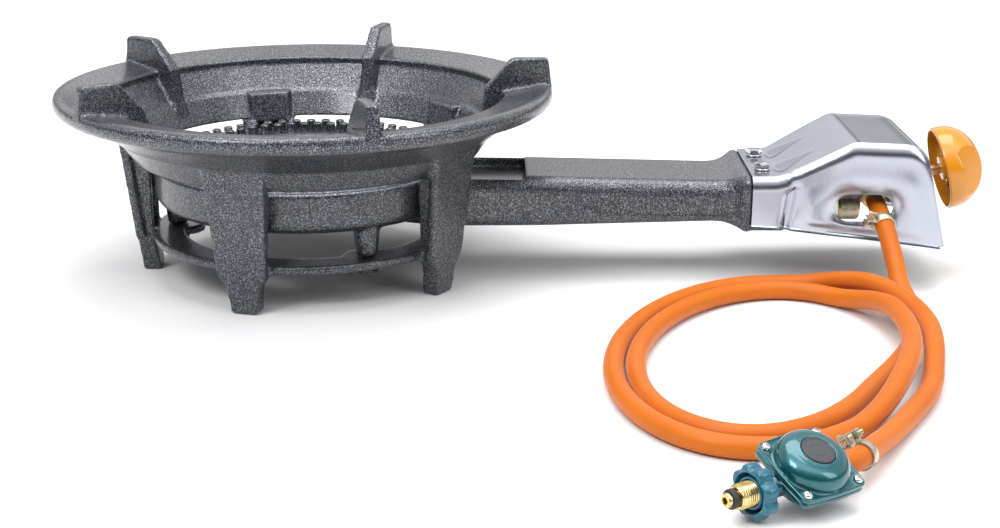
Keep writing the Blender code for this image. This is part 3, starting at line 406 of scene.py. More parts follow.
def lathe(profile, steps, closed=False):
    """Turns (radius, height) points about Z; the ends close on the axis unless the profile is a loop."""
    body = bmesh.new()
    rows = []
    for radius, height in profile:
        if radius < 1e-6:
            rows.append([body.verts.new((0.0, 0.0, height))])
            continue
        rows.append([body.verts.new(round_about(radius, 2.0 * pi * i / steps, height))
                     for i in range(steps)])
    pairs = list(zip(rows, rows[1:]))
    if closed:
        pairs.append((rows[-1], rows[0]))
    for near, far in pairs:
        for i in range(steps):
            j = (i + 1) % steps
            face = [near[i % len(near)], near[j % len(near)], far[j % len(far)], far[i % len(far)]]
            unique = [vertex for k, vertex in enumerate(face) if vertex not in face[:k]]
            if len(unique) > 2:
                body.faces.new(unique)
    bmesh.ops.recalc_face_normals(body, faces=body.faces)
    return body


def arc(centre, radius, start, end, count):
    angles = [radians(start + (end - start) * i / count) for i in range(count + 1)]
    return [(centre[0] + radius * cos(angle), centre[1] + radius * sin(angle)) for angle in angles]


def bend(start, here, end, count):
    """Points on a smooth bend between two ends whose lines meet here."""
    shares = [k / count for k in range(count + 1)]
    return [tuple(start * (1 - t) ** 2 + here * 2 * t * (1 - t) + end * t ** 2) for t in shares]


def filleted(points, radius, count=4, loop=True):
    """A flat path whose corners are rounded by up to the given radius."""
    result = []
    total = len(points)
    for i, point in enumerate(points):
        if not loop and i in (0, total - 1):
            result.append(tuple(point))
            continue
        here = Vector(point)
        before = Vector(points[i - 1]) - here
        after = Vector(points[(i + 1) % total]) - here
        turn = before.angle(after)
        if abs(pi - turn) < 0.03:
            result.append(tuple(point))
            continue
        reach = min(radius / math.tan(turn / 2.0), before.length * 0.48, after.length * 0.48)
        result += bend(here + before.normalized() * reach, here,
                       here + after.normalized() * reach, count)
    return result


def prism(outline, low, high):
    """A flat outline in XY between two heights."""
    return skin([[(x, y, low) for x, y in outline], [(x, y, high) for x, y in outline]])


def cylinder(radius, low, high, steps=32, edge=0.0):
    if edge:
        profile = [(0.0, high), (radius - edge, high)]
        profile += arc((radius - edge, high - edge), edge, 90.0, 0.0, 3)[1:]
        profile += arc((radius - edge, low + edge), edge, 0.0, -90.0, 3)
        return lathe(profile + [(0.0, low)], steps)
    return lathe([(0.0, high), (radius, high), (radius, low), (0.0, low)], steps)


def hexagon(across_flats):
    return arc((0.0, 0.0), across_flats / math.sqrt(3.0), 0.0, 300.0, 5)


def coil_wire(centre_points, radius, steps=10, closed=False):
    """A round bar along a path."""
    points = [Vector(point) for point in centre_points]
    rings = []
    count = len(points)
    up = Vector((0.0, 0.0, 1.0))
    for i, point in enumerate(points):
        ahead = points[(i + 1) % count] if closed or i < count - 1 else point
        behind = points[i - 1] if closed or i > 0 else point
        way = (ahead - behind).normalized()
        side = way.cross(up)
        if side.length < 0.05:
            side = way.cross(Vector((1.0, 0.0, 0.0)))
        side.normalize()
        top = side.cross(way).normalized()
        rings.append([
            point + side * radius * cos(2 * pi * k / steps)
            + top * radius * sin(2 * pi * k / steps) for k in range(steps)
        ])
    return skin(rings, closed_path=closed)


# The stand --------------------------------------------------------------------------------------
PRONG_TOP = 149.5
LEG_COUNT = 5
STEP = 360.0 / LEG_COUNT
STAND_TURN = 2.3                # degrees that the legs and prongs are turned from the neck
RIM_PROFILE = (
    (138.4, 125.9), (166.5, 131.2), (171.0, 130.2), (172.4, 127.0), (172.0, 123.0),
    (169.2, 119.8), (149.5, 113.4), (130.5, 99.2), (119.8, 84.4),
    (114.6, 84.4), (123.6, 102.6), (126.2, 104.2), (139.6, 122.2), (138.2, 123.6),
)
PEG_ANGLES = (180.0, 60.0, -60.0)
PEG_RADIUS_FROM_AXIS = 94.0
RING_TOP = 31.0
RING_BOTTOM = 25.5
STAND_VOXEL = 1.35
PRONG_HALF = 4.1                # half a prong's thickness at its top
PRONG_TAPER = 0.038
LEG_FLANGES = (                 # height, outer and inner half width, reach behind the leg's face
    (24.5, 13.4, 8.6, 12.2), (31.0, 14.4, 9.4, 12.9), (80.0, 17.4, 12.4, 18.4),
    (86.0, 17.8, 12.8, 11.8),
)
LEG_BOSS = ((82.0, 15.2, 110.6), (103.6, 16.4, 115.6))      # height, half width, inner radius


def leg_outer(height):
    """The leg's outer face leans out as it rises."""
    return 118.0 + 0.113 * height


def leaning(body):
    """Leans a body built with its outer face at X = 0 to follow the leg."""
    for vertex in body.verts:
        vertex.co.x += leg_outer(vertex.co.z)
    return body


def leg_plate(half, depth):
    """A slab from half its outline in (y, z); its depth runs inwards from the outer face."""
    outline = half + [(-y, z) for y, z in reversed(half)]
    rings = [[(-x, y, z) for y, z in outline] for x in (0.0, depth)]
    return leaning(skin(rings))


def make_leg():
    half = [(8.0, 0.0), (9.4, 1.6), (9.9, 8.0), (10.7, 15.0)]
    half += arc((21.0, 15.2), 10.0, 180.0, 125.0, 5)
    half += [(17.3, 28.0), (18.9, 55.0), (20.4, 80.0), (21.6, 98.5), (20.8, 100.4)]
    foot_half = [(y, z) for y, z in half if z < LEG_FLANGES[0][0]] + [(14.8, 26.5)]
    front = leg_plate(half, 6.2)
    foot = leg_plate(foot_half, 12.4)
    flanges = [
        leaning(skin([
            [(-reach, side * inside, height), (-3.0, side * inside, height),
             (-3.0, side * outside, height), (-reach, side * outside, height)]
            for height, outside, inside, reach in LEG_FLANGES
        ]))
        for side in (-1.0, 1.0)
    ]
    boss = skin([
        [(reach, -half + 2.6, height), (reach + 2.4, -half, height), (127.0, -half, height),
         (127.0, half, height), (reach + 2.4, half, height), (reach, half - 2.6, height)]
        for height, half, reach in LEG_BOSS
    ])
    return merged(front, foot, boss, *flanges)


def make_prong():
    """A pot support: a fin across the rim, thicker at its root."""
    outline = filleted((
        (172.2, 126.8), (169.4, 148.2), (168.0, PRONG_TOP), (145.2, PRONG_TOP), (142.0, 147.8),
        (125.0, 128.8), (122.2, 106.0), (117.2, 88.0), (119.6, 88.0), (129.0, 103.0),
        (142.0, 120.5), (160.0, 126.5),
    ), 1.8, 2)
    return skin([[(x, side * (PRONG_HALF + (PRONG_TOP - z) * PRONG_TAPER), z) for x, z in outline]
                 for side in (-1.0, 1.0)])


def make_stand():
    solids = [lathe(RIM_PROFILE, 180, closed=True)]
    solids.append(lathe(filleted((
        (87.0, RING_TOP), (110.2, RING_TOP), (110.0, RING_BOTTOM), (87.6, RING_BOTTOM)), 1.2, 2),
        144, closed=True))
    for i in range(LEG_COUNT):
        solids.append(moved(make_leg(), around_z(STAND_TURN + STEP * (i + 0.5))))
        solids.append(moved(make_prong(), around_z(STAND_TURN + STEP * i)))
    for angle in PEG_ANGLES:
        lug = cylinder(16.0, RING_BOTTOM + 0.1, RING_TOP - 0.1, 40)
        place = at(PEG_RADIUS_FROM_AXIS - 3.0, 0.0, 0.0)
        solids.append(moved(lug, around_z(angle) @ place))
    body = cast(merged(*solids), STAND_VOXEL)
    show("stand", ("stand_casting",), body, HAMMERTONE, sharp=180.0)


# The burner -------------------------------------------------------------------------------------
BOWL_BOTTOM = 50.5
BOWL_TOP = 79.0
BURNER_VOXEL = 1.25
NECK_STATIONS = (               # x, half width, low, high, top corner radius, bottom corner radius
    (70.0, 35.0, 40.0, 54.5, 4.0, 5.0),
    (101.0, 37.0, 37.7, 54.5, 4.0, 5.0),
    (102.5, 37.0, 37.7, 74.0, 10.0, 7.0),
    (165.0, 37.0, 38.1, 73.2, 10.5, 8.0),
    (284.0, 37.0, 41.5, 71.0, 10.5, 9.0),
    (291.0, 37.6, 41.1, 71.5, 10.0, 9.0),
    (297.0, 40.2, 39.6, 73.2, 9.0, 9.0),
    (302.0, 45.0, 38.0, 75.7, 8.5, 9.0),
    (305.0, 47.3, 36.4, 76.6, 8.0, 9.0),
    (307.3, 47.3, 36.6, 76.6, 8.0, 9.0),
    (307.6, 44.4, 37.4, 74.4, 6.0, 6.0),
    (332.0, 44.4, 37.4, 74.4, 6.0, 6.0),
)


def rounded_section(half_width, low, high, top_radius, bottom_radius, count=6):
    corners = (
        ((half_width - bottom_radius, low + bottom_radius), bottom_radius, -90.0),
        ((half_width - top_radius, high - top_radius), top_radius, 0.0),
        ((-half_width + top_radius, high - top_radius), top_radius, 90.0),
        ((-half_width + bottom_radius, low + bottom_radius), bottom_radius, 180.0),
    )
    points = []
    for centre, radius, start in corners:
        points += arc(centre, radius, start, start + 90.0, count)
    return points


def duct(stations):
    return skin([[(x, y, z) for y, z in rounded_section(*section)] for x, *section in stations])


def make_burner():
    bowl = lathe(
        [(0.0, 56.0), (92.0, 56.0), (97.0, 61.0), (97.0, 69.6), (101.6, 69.6), (101.6, BOWL_TOP - 1.0),
         (103.0, BOWL_TOP), (105.6, BOWL_TOP), (107.0, BOWL_TOP - 1.6)]
        + arc((96.6, BOWL_BOTTOM + 10.4), 10.4, 0.0, -90.0, 8) + [(0.0, BOWL_BOTTOM)], 180)
    mouth = duct((
        (290.0, 11.0, 45.0, 67.0, 10.9, 10.9), (312.0, 11.0, 45.0, 67.0, 10.9, 10.9),
        (334.0, 16.0, 40.4, 72.0, 15.7, 15.7),
    ))
    pocket = prism(filleted(
        ((109.0, -31.5), (153.5, -31.5), (153.5, 31.5), (109.0, 31.5)), 3.0), 64.2, 90.0)
    neck = less(duct(NECK_STATIONS), pocket, mouth)
    pegs = [
        moved(lathe([(0.0, 54.0), (9.6, 54.0), (9.0, 49.0), (7.1, 31.4), (0.0, 31.4)], 36),
              around_z(angle) @ at(PEG_RADIUS_FROM_AXIS, 0.0, 0.0))
        for angle in PEG_ANGLES
    ]
    body = cast(merged(bowl, neck, *pegs), BURNER_VOXEL)
    show("burner_casting", ("burner_body",), body, HAMMERTONE, sharp=180.0)


DISC_TOP = 75.2
PORT_COUNT = 24
PORT_RADIUS = 66.0
RIDGE_RADII = (30.0, 50.0)
NUB_COUNT = 54
NUB_ROWS = ((94.6, 78.6, 0.2), (86.0, 78.3, 0.7))      # radius, base height, shift in steps
NUB_PROFILE = ((0.0, 4.3), (1.4, 4.5), (1.7, 6.9), (2.6, 7.3), (3.35, 6.6), (3.1, 4.6),
               (3.2, 1.6), (3.9, 0.1), (4.1, -0.8), (0.0, -0.8))


def make_head():
    plate = lathe(
        filleted([
            (0.0, DISC_TOP), (73.0, DISC_TOP), (76.4, 78.2), (79.6, 79.0), (88.0, 78.6), (98.6, 79.5),
            (101.1, 78.6), (101.1, 70.4), (97.6, 70.4), (96.6, 74.6), (78.0, 74.2), (74.0, 71.4),
            (0.0, 71.4),
        ], 1.4, 3, loop=False), 192)
    bodies = [plate]
    ripple = random.Random(5)
    for radius, base, shift in NUB_ROWS:
        for i in range(NUB_COUNT):
            nub = lathe(NUB_PROFILE, 14)
            lean = turned(ripple.uniform(-3.0, 3.0), "Y")
            turn = around_z(360.0 / NUB_COUNT * (i + shift))
            bodies.append(moved(nub, turn @ at(radius, 0.0, base) @ lean))
    for i in range(PORT_COUNT):
        port = lathe([(0.0, 0.25), (1.3, 0.25), (1.6, 1.0), (2.4, 1.1), (3.1, 0.0), (3.1, -0.6),
                      (0.0, -0.6)], 14)
        turn = around_z(360.0 / PORT_COUNT * i + 3.0)
        bodies.append(moved(port, turn @ at(PORT_RADIUS, 0.0, DISC_TOP)))
    for radius in RIDGE_RADII:
        bodies.append(lathe([(radius - 1.6, DISC_TOP - 0.2), (radius - 0.8, DISC_TOP + 0.7),
                             (radius + 0.8, DISC_TOP + 0.7), (radius + 1.6, DISC_TOP - 0.2)],
                            128, closed=True))
    show("burner_head_plate", ("burner_head",), merged(*bodies), HAMMERTONE)


def hex_head(across_flats, height, chamfer=0.8):
    """A hexagon head with its top corners turned off."""
    block = prism(hexagon(across_flats), 0.0, height)
    corner = across_flats / math.sqrt(3.0)
    trim = lathe([(corner - chamfer * 1.8, height + 0.1), (corner + 3.0, height + 0.1),
                  (corner + 3.0, height - chamfer * 2.6)], 48, closed=True)
    return rounded_edges(less(block, trim), 0.18, 2)


def burner_bolt():
    return merged(hex_head(13.0, 5.3), cylinder(3.6, -15.0, 0.5, 24))


def make_burner_bolts():
    bolt = burner_bolt()
    show("centre_bolt", ("head_bolt",), moved(bolt, at(0.0, 0.0, 75.5)), BLACK_STEEL)
    for i, angle in enumerate(PEG_ANGLES):
        bolt = burner_bolt()
        place = around_z(angle) @ at(PEG_RADIUS_FROM_AXIS, 0.0, RING_BOTTOM - 0.3)
        over = turned(180.0, "X")
        show(f"peg_bolt_{i + 1}", (f"burner_bolt_{i + 1}",), moved(bolt, place @ over), BLACK_STEEL)


# The chromed cover ------------------------------------------------------------------------------
COVER_RIDGE = (
    (308.6, 76.4), (327.0, 76.6), (375.2, 102.2), (424.4, 100.4), (440.2, 32.2), (440.8, 30.4),
)
COVER_RIDGE_RADII = (4.0, 3.0, 14.0, 1.5)
COVER_HEM_END = (437.2, 30.7)
COVER_HEM = (
    (308.6, 43.2), (328.0, 42.2), (343.0, 41.2), (377.0, 38.2), (422.0, 32.8), COVER_HEM_END,
)
HEM_TURN_X = 400.0                 # past here the side's lines fan out towards the end
COVER_SHEET = 1.0
COVER_HALF = 46.2                  # half the width by the flange
COVER_WIDENING = 6.2
COVER_HOLE_X = (374.0, 394.2)
COVER_HOLE_Z = 56.8
COVER_HOLE_RADIUS = 10.1
COVER_CORNER = 12.2
COVER_END_CORNER = 3.6
COVER_CREASE = 52.0                # degrees of the corner before the crease with the top
TROUGH_X = 334.0                   # the pressed groove between the flange and the bulge
TROUGH_LEAN = 0.14
TROUGH_WIDTH = 3.4
TROUGH_DEPTH = 3.2
DIMPLE_DEPTH = 3.4                 # how far the side is drawn in round its hole
DIMPLE_FADE = 6.0
COVER_SCREW_X = 318.0
COVER_SCREW_Y = 21.0
COVER_SCREW_Z = 76.9


def along(path, positions):
    """Points at the given shares of a path's length."""
    points = [Vector(point) for point in path]
    lengths = [0.0]
    for near, far in zip(points, points[1:]):
        lengths.append(lengths[-1] + (far - near).length)
    result = []
    for share in positions:
        want = share * lengths[-1]
        k = max(i for i in range(len(points) - 1) if lengths[i] <= want + 1e-9)
        step = lengths[k + 1] - lengths[k]
        result.append(points[k].lerp(points[k + 1], min(1.0, (want - lengths[k]) / step)))
    return result


def line_value(points, x):
    """The height of a broken line at x."""
    for (x0, z0), (x1, z1) in zip(points, points[1:]):
        if x <= x1:
            return z0 + (z1 - z0) * (x - x0) / (x1 - x0)
    return points[-1][1]


def step_up(low, high, value):
    t = min(max((value - low) / (high - low), 0.0), 1.0)
    return t * t * (3.0 - 2.0 * t)


def ridge_height(x):
    return line_value(COVER_RIDGE[:4], min(x, 425.0))


def cover_side(x, z):
    """Half the cover's width at a place on its side: flat by the flange, then a pressed bulge."""
    half = COVER_HALF + COVER_WIDENING * step_up(322.0, 378.0, x)
    below_ridge = ridge_height(x) - z
    end_x = 440.5 - (z - 29.0) * 16.0 / 70.0
    inside = step_up(10.0, 30.0, below_ridge) * step_up(1.0, 17.0, end_x - x)
    inside *= step_up(336.0, 350.0, x) * step_up(0.5, 8.0, z - line_value(COVER_HEM, x))
    lean = min(max((z - 54.0) / 36.0, -1.0), 1.0)
    half += (0.9 + 1.0 * (1.0 - lean * lean)) * inside
    trough = math.exp(-((x - TROUGH_X - TROUGH_LEAN * (z - 60.0)) / TROUGH_WIDTH) ** 2)
    half -= TROUGH_DEPTH * trough * step_up(9.0, 15.0, below_ridge)
    left, right = COVER_HOLE_X
    nearest = min(max(x, left), right)
    away = math.hypot(x - nearest, z - COVER_HOLE_Z) - COVER_HOLE_RADIUS
    half -= DIMPLE_DEPTH * math.exp(-max(away, 0.0) / DIMPLE_FADE) * step_up(342.0, 352.0, x)
    return half


def ridge_path():
    """The ridge with its bends rounded."""
    path = [COVER_RIDGE[0]]
    corners = [Vector(point) for point in COVER_RIDGE]
    for before, here, after, radius in zip(corners, corners[1:], corners[2:], COVER_RIDGE_RADII):
        path += bend(here + (before - here).normalized() * radius, here,
                     here + (after - here).normalized() * radius, 8)
    return path + [COVER_RIDGE[-1]]


def cover_sheet():
    """The cover's outer face: a line of points from hem to hem at each place along the ridge."""
    ridge_steps, side_steps, top_steps, corner_steps = 190, 64, 56, 7
    crease = radians(COVER_CREASE)
    shares = [i / ridge_steps for i in range(ridge_steps + 1)]
    ridge = along(ridge_path(), shares)
    turn = next(i for i, point in enumerate(ridge) if point.x > HEM_TURN_X)
    fan = (COVER_HEM_END[0] - ridge[turn].x) / (ridge_steps - turn)
    hem_x = [point.x if i < turn else ridge[turn].x + fan * (i - turn) for i, point in enumerate(ridge)]
    hem = [Vector((x, line_value(COVER_HEM, x))) for x in hem_x]
    rings = []
    for i, (top, low) in enumerate(zip(ridge, hem)):
        ahead = ridge[min(i + 1, ridge_steps)] - ridge[max(i - 1, 0)]
        outward = Vector((-ahead.y, ahead.x)).normalized()
        corner = COVER_CORNER + (COVER_END_CORNER - COVER_CORNER) * step_up(0.60, 0.78, shares[i])
        shoulder = top - outward * corner * sin(crease)
        column = [(low.x, cover_side(low.x, low.y) + reach, low.y + lift)
                  for lift, reach in ((-0.7, 2.3), (-0.9, 1.5), (-0.5, 0.5))]
        for k in range(side_steps + 1):
            t = k / side_steps
            spot = low.lerp(shoulder, t)
            column.append((spot.x, cover_side(spot.x, spot.y), spot.y))
        half = column[-1][1]
        for k in range(1, corner_steps + 1):
            angle = crease * k / corner_steps
            spot = shoulder + outward * corner * sin(angle)
            column.append((spot.x, half - corner * (1.0 - cos(angle)), spot.y))
        edge = half - corner * (1.0 - cos(crease))
        middle = []
        for k in range(1, top_steps):
            y = edge * (1.0 - 2.0 * k / top_steps)
            spot = top + outward * top_relief(top.x, y, shares[i])
            middle.append((spot.x, y, spot.y))
        other = [(x, -y, z) for x, y, z in reversed(column)]
        rings.append(column + middle + other)
    body = skin(rings, closed_rings=False, caps=False)
    bmesh.ops.remove_doubles(body, verts=body.verts, dist=0.02)
    return body


def top_relief(x, y, share):
    """The shallow panel on the top and the two screw dents at the foot of the slope."""
    panel = step_up(379.0, 379.8, x) * step_up(421.0, 420.2, x)
    relief = -0.7 * panel * (1.0 if share < 0.75 else 0.0)
    width = 0.8 + 6.5 * step_up(352.0, 326.0, x)
    dent = math.exp(-((abs(y) - COVER_SCREW_Y) / width) ** 2) * step_up(356.0, 334.0, x)
    relief -= 2.6 * dent * step_up(325.0, 331.0, x)
    return relief


def slot_outline(grow=0.0, count=14):
    left, right = COVER_HOLE_X
    radius = COVER_HOLE_RADIUS + grow
    return (arc((right, COVER_HOLE_Z), radius, -90.0, 90.0, count)
            + arc((left, COVER_HOLE_Z), radius, 90.0, 270.0, count))


def make_cover():
    sheet = scratch(cover_sheet())
    modify(sheet, "SOLIDIFY", thickness=COVER_SHEET, offset=-1.0)
    body = worked(sheet)
    bmesh.ops.recalc_face_normals(body, faces=body.faces)
    slot = skin([[(x, y, z) for x, z in slot_outline()] for y in (-62.0, -36.0)])
    spindle = moved(cylinder(6.6, 36.0, 66.0, 40), VALVE_IN_BURNER @ ALONG_X)
    holes = [
        moved(cylinder(2.6, 70.0, 84.0, 24), at(COVER_SCREW_X, side * COVER_SCREW_Y, 0.0))
        for side in (-1.0, 1.0)
    ]
    body = less(body, slot, spindle, *holes)
    rolled = [(x, -cover_side(x, z) + 0.5, z) for x, z in slot_outline(0.05, 20)]
    body = merged(body, coil_wire(rolled, 0.75, 8, closed=True))
    show("chromed_cover", ("valve_cover",), body, CHROME, sharp=42.0)


def make_cover_screws():
    for i, side in enumerate((-1.0, 1.0)):
        washer = cylinder(5.7, 0.0, 0.9, 40, 0.3)
        head = moved(hex_head(9.9, 3.9, 0.6), around_z(17.0 + 40.0 * i))
        dome = lathe([(0.0, 4.5), (2.6, 4.3), (4.4, 3.6), (4.4, 2.8), (0.0, 2.8)], 28)
        cut = prism([(-6.0, -0.6), (6.0, -0.6), (6.0, 0.6), (-6.0, 0.6)], 3.2, 6.0)
        cut = moved(cut, around_z(35.0 if side < 0 else -10.0))
        top = merged(less(head, cut.copy()), less(dome, cut))
        body = merged(washer, moved(top, at(0.0, 0.0, 0.5)), cylinder(2.0, -9.0, 0.4, 20))
        body = moved(body, at(COVER_SCREW_X, side * COVER_SCREW_Y, COVER_SCREW_Z))
        show(f"cover_bolt_{i + 1}", (f"cover_screw_{i + 1}",), body, STEEL)


# The valve --------------------------------------------------------------------------------------
INLET_DROP = radians(10.0)
INLET_START = Vector((396.0, 0.0, 61.5))
INLET_WAY = Vector((0.0, -cos(INLET_DROP), -sin(INLET_DROP)))
INLET = Matrix.Translation(INLET_START) @ Matrix.Rotation(radians(90.0) + INLET_DROP, 4, "X")
BARB_START = 19.0
BARB_SHOULDER = 27.0
KNOB_BACK = 64.2
OUTLET_AXIS = at(0.0, 0.0, 56.0) @ ALONG_X
BLOCK_AXIS = at(0.0, -18.0, 50.6) @ ALONG_X      # the zinc end of the valve seen through the hole
BLOCK_START, BLOCK_END = 371.5, 387.0


def make_valve():
    barrel = moved(cylinder(10.8, -16.0, 24.0, 64, 2.4), VALVE_IN_BURNER @ ALONG_X)
    inlet = moved(cylinder(8.0, 0.0, BARB_START, 48, 0.9), INLET)
    outlet = moved(cylinder(7.5, 352.0, 378.0, 48), OUTLET_AXIS)
    collar = moved(lathe(
        [(0.0, 17.4), (11.6, 17.4), (11.9, 18.0), (11.9, 22.4), (11.4, 23.0), (0.0, 23.0)], 64),
        VALVE_IN_BURNER @ ALONG_X)
    block = moved(cylinder(10.1, BLOCK_START, BLOCK_END, 64, 2.2), BLOCK_AXIS)
    body = cast(merged(barrel, inlet, outlet, collar, block), 0.5, 2)
    show("gas_valve_body", ("valve_body",), body, ZINC, sharp=180.0)

    bonnet = lathe(
        [(4.3, 57.0), (5.3, 57.0), (5.8, 56.5)]
        + [(5.8 - 0.35 * (i % 2), 56.2 - 0.5 * i) for i in range(15)]
        + [(5.9, 48.4), (8.6, 48.2), (9.0, 47.7), (9.0, 41.4), (8.2, 40.8), (8.2, 39.8), (9.0, 39.2),
           (9.0, 25.2), (6.9, 24.6), (6.9, 13.0), (4.3, 13.0)], 64, closed=True)
    show("packing_gland", ("valve_bonnet",), moved(bonnet, ALONG_X), BRASS, VALVE)

    nut = rounded_edges(less(prism(hexagon(15.0), 50.9, 53.9), cylinder(6.25, 50.0, 55.0, 48)), 0.25)
    show("cover_lock_nut", ("bonnet_nut",), moved(nut, ALONG_X), BRASS, VALVE)

    spindle = lathe([
        (0.0, 84.0), (2.8, 84.0), (3.5, 83.2), (3.5, 61.8), (3.1, 61.5), (3.1, 60.7), (3.5, 60.4),
        (3.5, 58.2), (4.0, 57.6), (4.0, 24.0), (3.5, 23.6), (3.5, 21.8), (4.0, 21.4), (4.0, 16.0),
        (1.0, 6.2), (0.0, 6.0)], 48)
    show("control_spindle", ("valve_spindle",), moved(spindle, ALONG_X), BRONZE, VALVE, KNOB_GROUP)

    barb = lathe(
        [(2.6, BARB_SHOULDER - 0.3), (3.6, BARB_SHOULDER - 0.3), (3.6, 25.2), (7.8, 25.0),
         (8.2, 24.5), (8.2, 22.6), (7.7, 22.3), (8.2, 22.0), (8.2, BARB_START + 0.8),
         (7.8, BARB_START + 0.3), (2.6, BARB_START + 0.3)], 48, closed=True)
    show("inlet_barb", ("hose_barb",), moved(barb, INLET), BRASS)

    jet = merged(
        less(rounded_edges(prism(hexagon(9.0), 344.0, 351.4), 0.25),
             cylinder(0.9, 340.0, 356.0, 16)),
        lathe([(0.9, 330.2), (1.9, 330.2), (2.3, 330.8), (3.9, 343.0), (3.9, 344.4), (0.9, 344.4)],
              32, closed=True))
    show("gas_jet", ("jet",), moved(jet, OUTLET_AXIS), BRASS)


# The knob ---------------------------------------------------------------------------------------
KNOB_RADIUS = 29.3
KNOB_WALL = 1.9
KNOB_BAND = 5.0


def knob_solid(inset):
    """The knob's outer form, or the hollow inside it when inset is the wall."""
    low = KNOB_BAND - inset * 0.4
    radius = KNOB_RADIUS - inset
    depth = KNOB_RADIUS - KNOB_BAND - inset + inset * 0.4
    dome = [(radius * cos(radians(3.0 * i)), low + depth * sin(radians(3.0 * i))) for i in range(31)]
    dome[-1] = (0.0, low + depth)
    base = -6.0 if inset else 0.0
    profile = [(0.0, base), (radius - (0.0 if inset else 0.9), base)]
    if not inset:
        profile += [(radius - 0.25, 0.3), (radius, 1.0)]
    body = lathe(profile + dome, 128)
    flats = []
    for side in (-1.0, 1.0):
        block = bmesh.new()
        bmesh.ops.create_cube(block, size=80.0)
        turn = turned(side * 38.0, "X")
        lift = at(0.0, 40.0 * side, 40.0)
        place = Matrix.Translation((0.0, side * (25.0 - inset), 9.0 - inset * 0.3))
        flats.append(moved(block, place @ turn @ lift))
    return less(body, *flats)


def make_knob():
    outer = rounded_edges(knob_solid(0.0), 0.7, 3, 12.0)
    hub = cylinder(8.5, 1.0, 27.0, 64, 0.5)
    ribs = [moved(prism([(6.0, -0.7), (28.4, -0.7), (28.4, 0.7), (6.0, 0.7)], 7.0, 27.0),
                  around_z(45.0 + 90.0 * i)) for i in range(4)]
    hollow = less(knob_solid(KNOB_WALL), hub, *ribs)
    bore = cylinder(3.8, -2.0, 22.0, 32)
    body = less(outer, hollow, bore)
    place = at(KNOB_BACK, 0.0, 0.0) @ ALONG_X
    show("control_knob", ("knob",), moved(body, place), KNOB_PLASTIC, VALVE, KNOB_GROUP, sharp=28.0)


# The hose: a lead from the valve, a loose oval coil on the floor and a tail to the regulator -----
HOSE_DIAMETER = 12.5
HOSE_RADIUS = HOSE_DIAMETER / 2.0
COIL_CENTRE = (301.4, -206.0)
COIL_HALF = (95.0, 148.0)
COIL_TURN = -0.27
COIL_START = -0.15
COIL_END = 2.0
REGULATOR_AXIS = -6.0
OUTLET_END = 25.0


def hump(rise_start, rise_end, fall_start, fall_end, t):
    return step_up(rise_start, rise_end, t) * (1.0 - step_up(fall_start, fall_end, t))


def coil_offset(t):
    """How far outside the oval the hose lies after t turns."""
    offset = 20.0 - 51.0 * step_up(-0.20, 0.06, t)
    return offset + 16.5 * step_up(0.04, 0.38, t) + 13.3 * step_up(1.00, 1.32, t)


def coil_height(t):
    """The lead comes down to the floor, and the two later passes ride over it."""
    height = HOSE_RADIUS + 30.0 * (1.0 - step_up(-0.22, -0.10, t))
    over = hump(0.80, 0.915, 1.02, 1.14, t) + hump(1.73, 1.85, 1.94, 2.05, t)
    return height + (HOSE_DIAMETER + 0.2) * over


def coil_point(t):
    angle = -2.0 * pi * t
    half_x, half_y = COIL_HALF
    normal = Vector((cos(angle) / half_x, sin(angle) / half_y)).normalized()
    x = half_x * cos(angle) + normal.x * coil_offset(t)
    y = half_y * sin(angle) + normal.y * coil_offset(t)
    turn_cos, turn_sin = cos(COIL_TURN), sin(COIL_TURN)
    return Vector((
        COIL_CENTRE[0] + x * turn_cos - y * turn_sin,
        COIL_CENTRE[1] + x * turn_sin + y * turn_cos,
        coil_height(t),
    ))


def along_inlet(distance):
    return INLET_START + INLET_WAY * distance


def at_regulator(place):
    return REGULATOR_TURN @ Vector(place) + REGULATOR_CENTRE


LEAD_ROUTE = (
    along_inlet(BARB_SHOULDER), along_inlet(37.0), (396.2, -50.0, 51.8), (397.6, -62.5, 44.6),
    (399.0, -75.0, 35.6), (400.2, -87.5, 26.0),
)
TAIL_ROUTE = (
    (386.0, -252.0, 7.2), (377.8, -272.0, 6.5), (366.6, -292.5, 6.3), (352.5, -317.5, 6.9),
    (340.6, -338.6, 8.9), (332.0, -353.4, 11.2), (327.2, -362.3, 12.6), (322.9, -370.3, 13.8),
    (318.4, -377.3, 14.4), (312.6, -383.2, 14.6),
    at_regulator((OUTLET_END, 0.0, REGULATOR_AXIS)),
)


def smooth_route(points, spacing):
    """Points about evenly spread on a smooth curve through the given ones."""
    points = [Vector(point) for point in points]
    ends = [points[0] * 2.0 - points[1]] + points + [points[-1] * 2.0 - points[-2]]
    route = []
    for before, near, far, after in zip(ends, ends[1:], ends[2:], ends[3:]):
        steps = max(1, round((far - near).length / spacing))
        for i in range(steps):
            t = i / steps
            square = 2.0 * before - 5.0 * near + 4.0 * far - after
            cube = 3.0 * near - before - 3.0 * far + after
            route.append(0.5 * (2.0 * near + (far - before) * t + square * t ** 2 + cube * t ** 3))
    route.append(points[-1])
    return route


def hose_route():
    per_turn = 40
    first, last = round(COIL_START * per_turn), round(COIL_END * per_turn)
    coil = [coil_point(i / per_turn) for i in range(first, last + 1)]
    return smooth_route(list(LEAD_ROUTE) + coil + list(TAIL_ROUTE), 4.0)


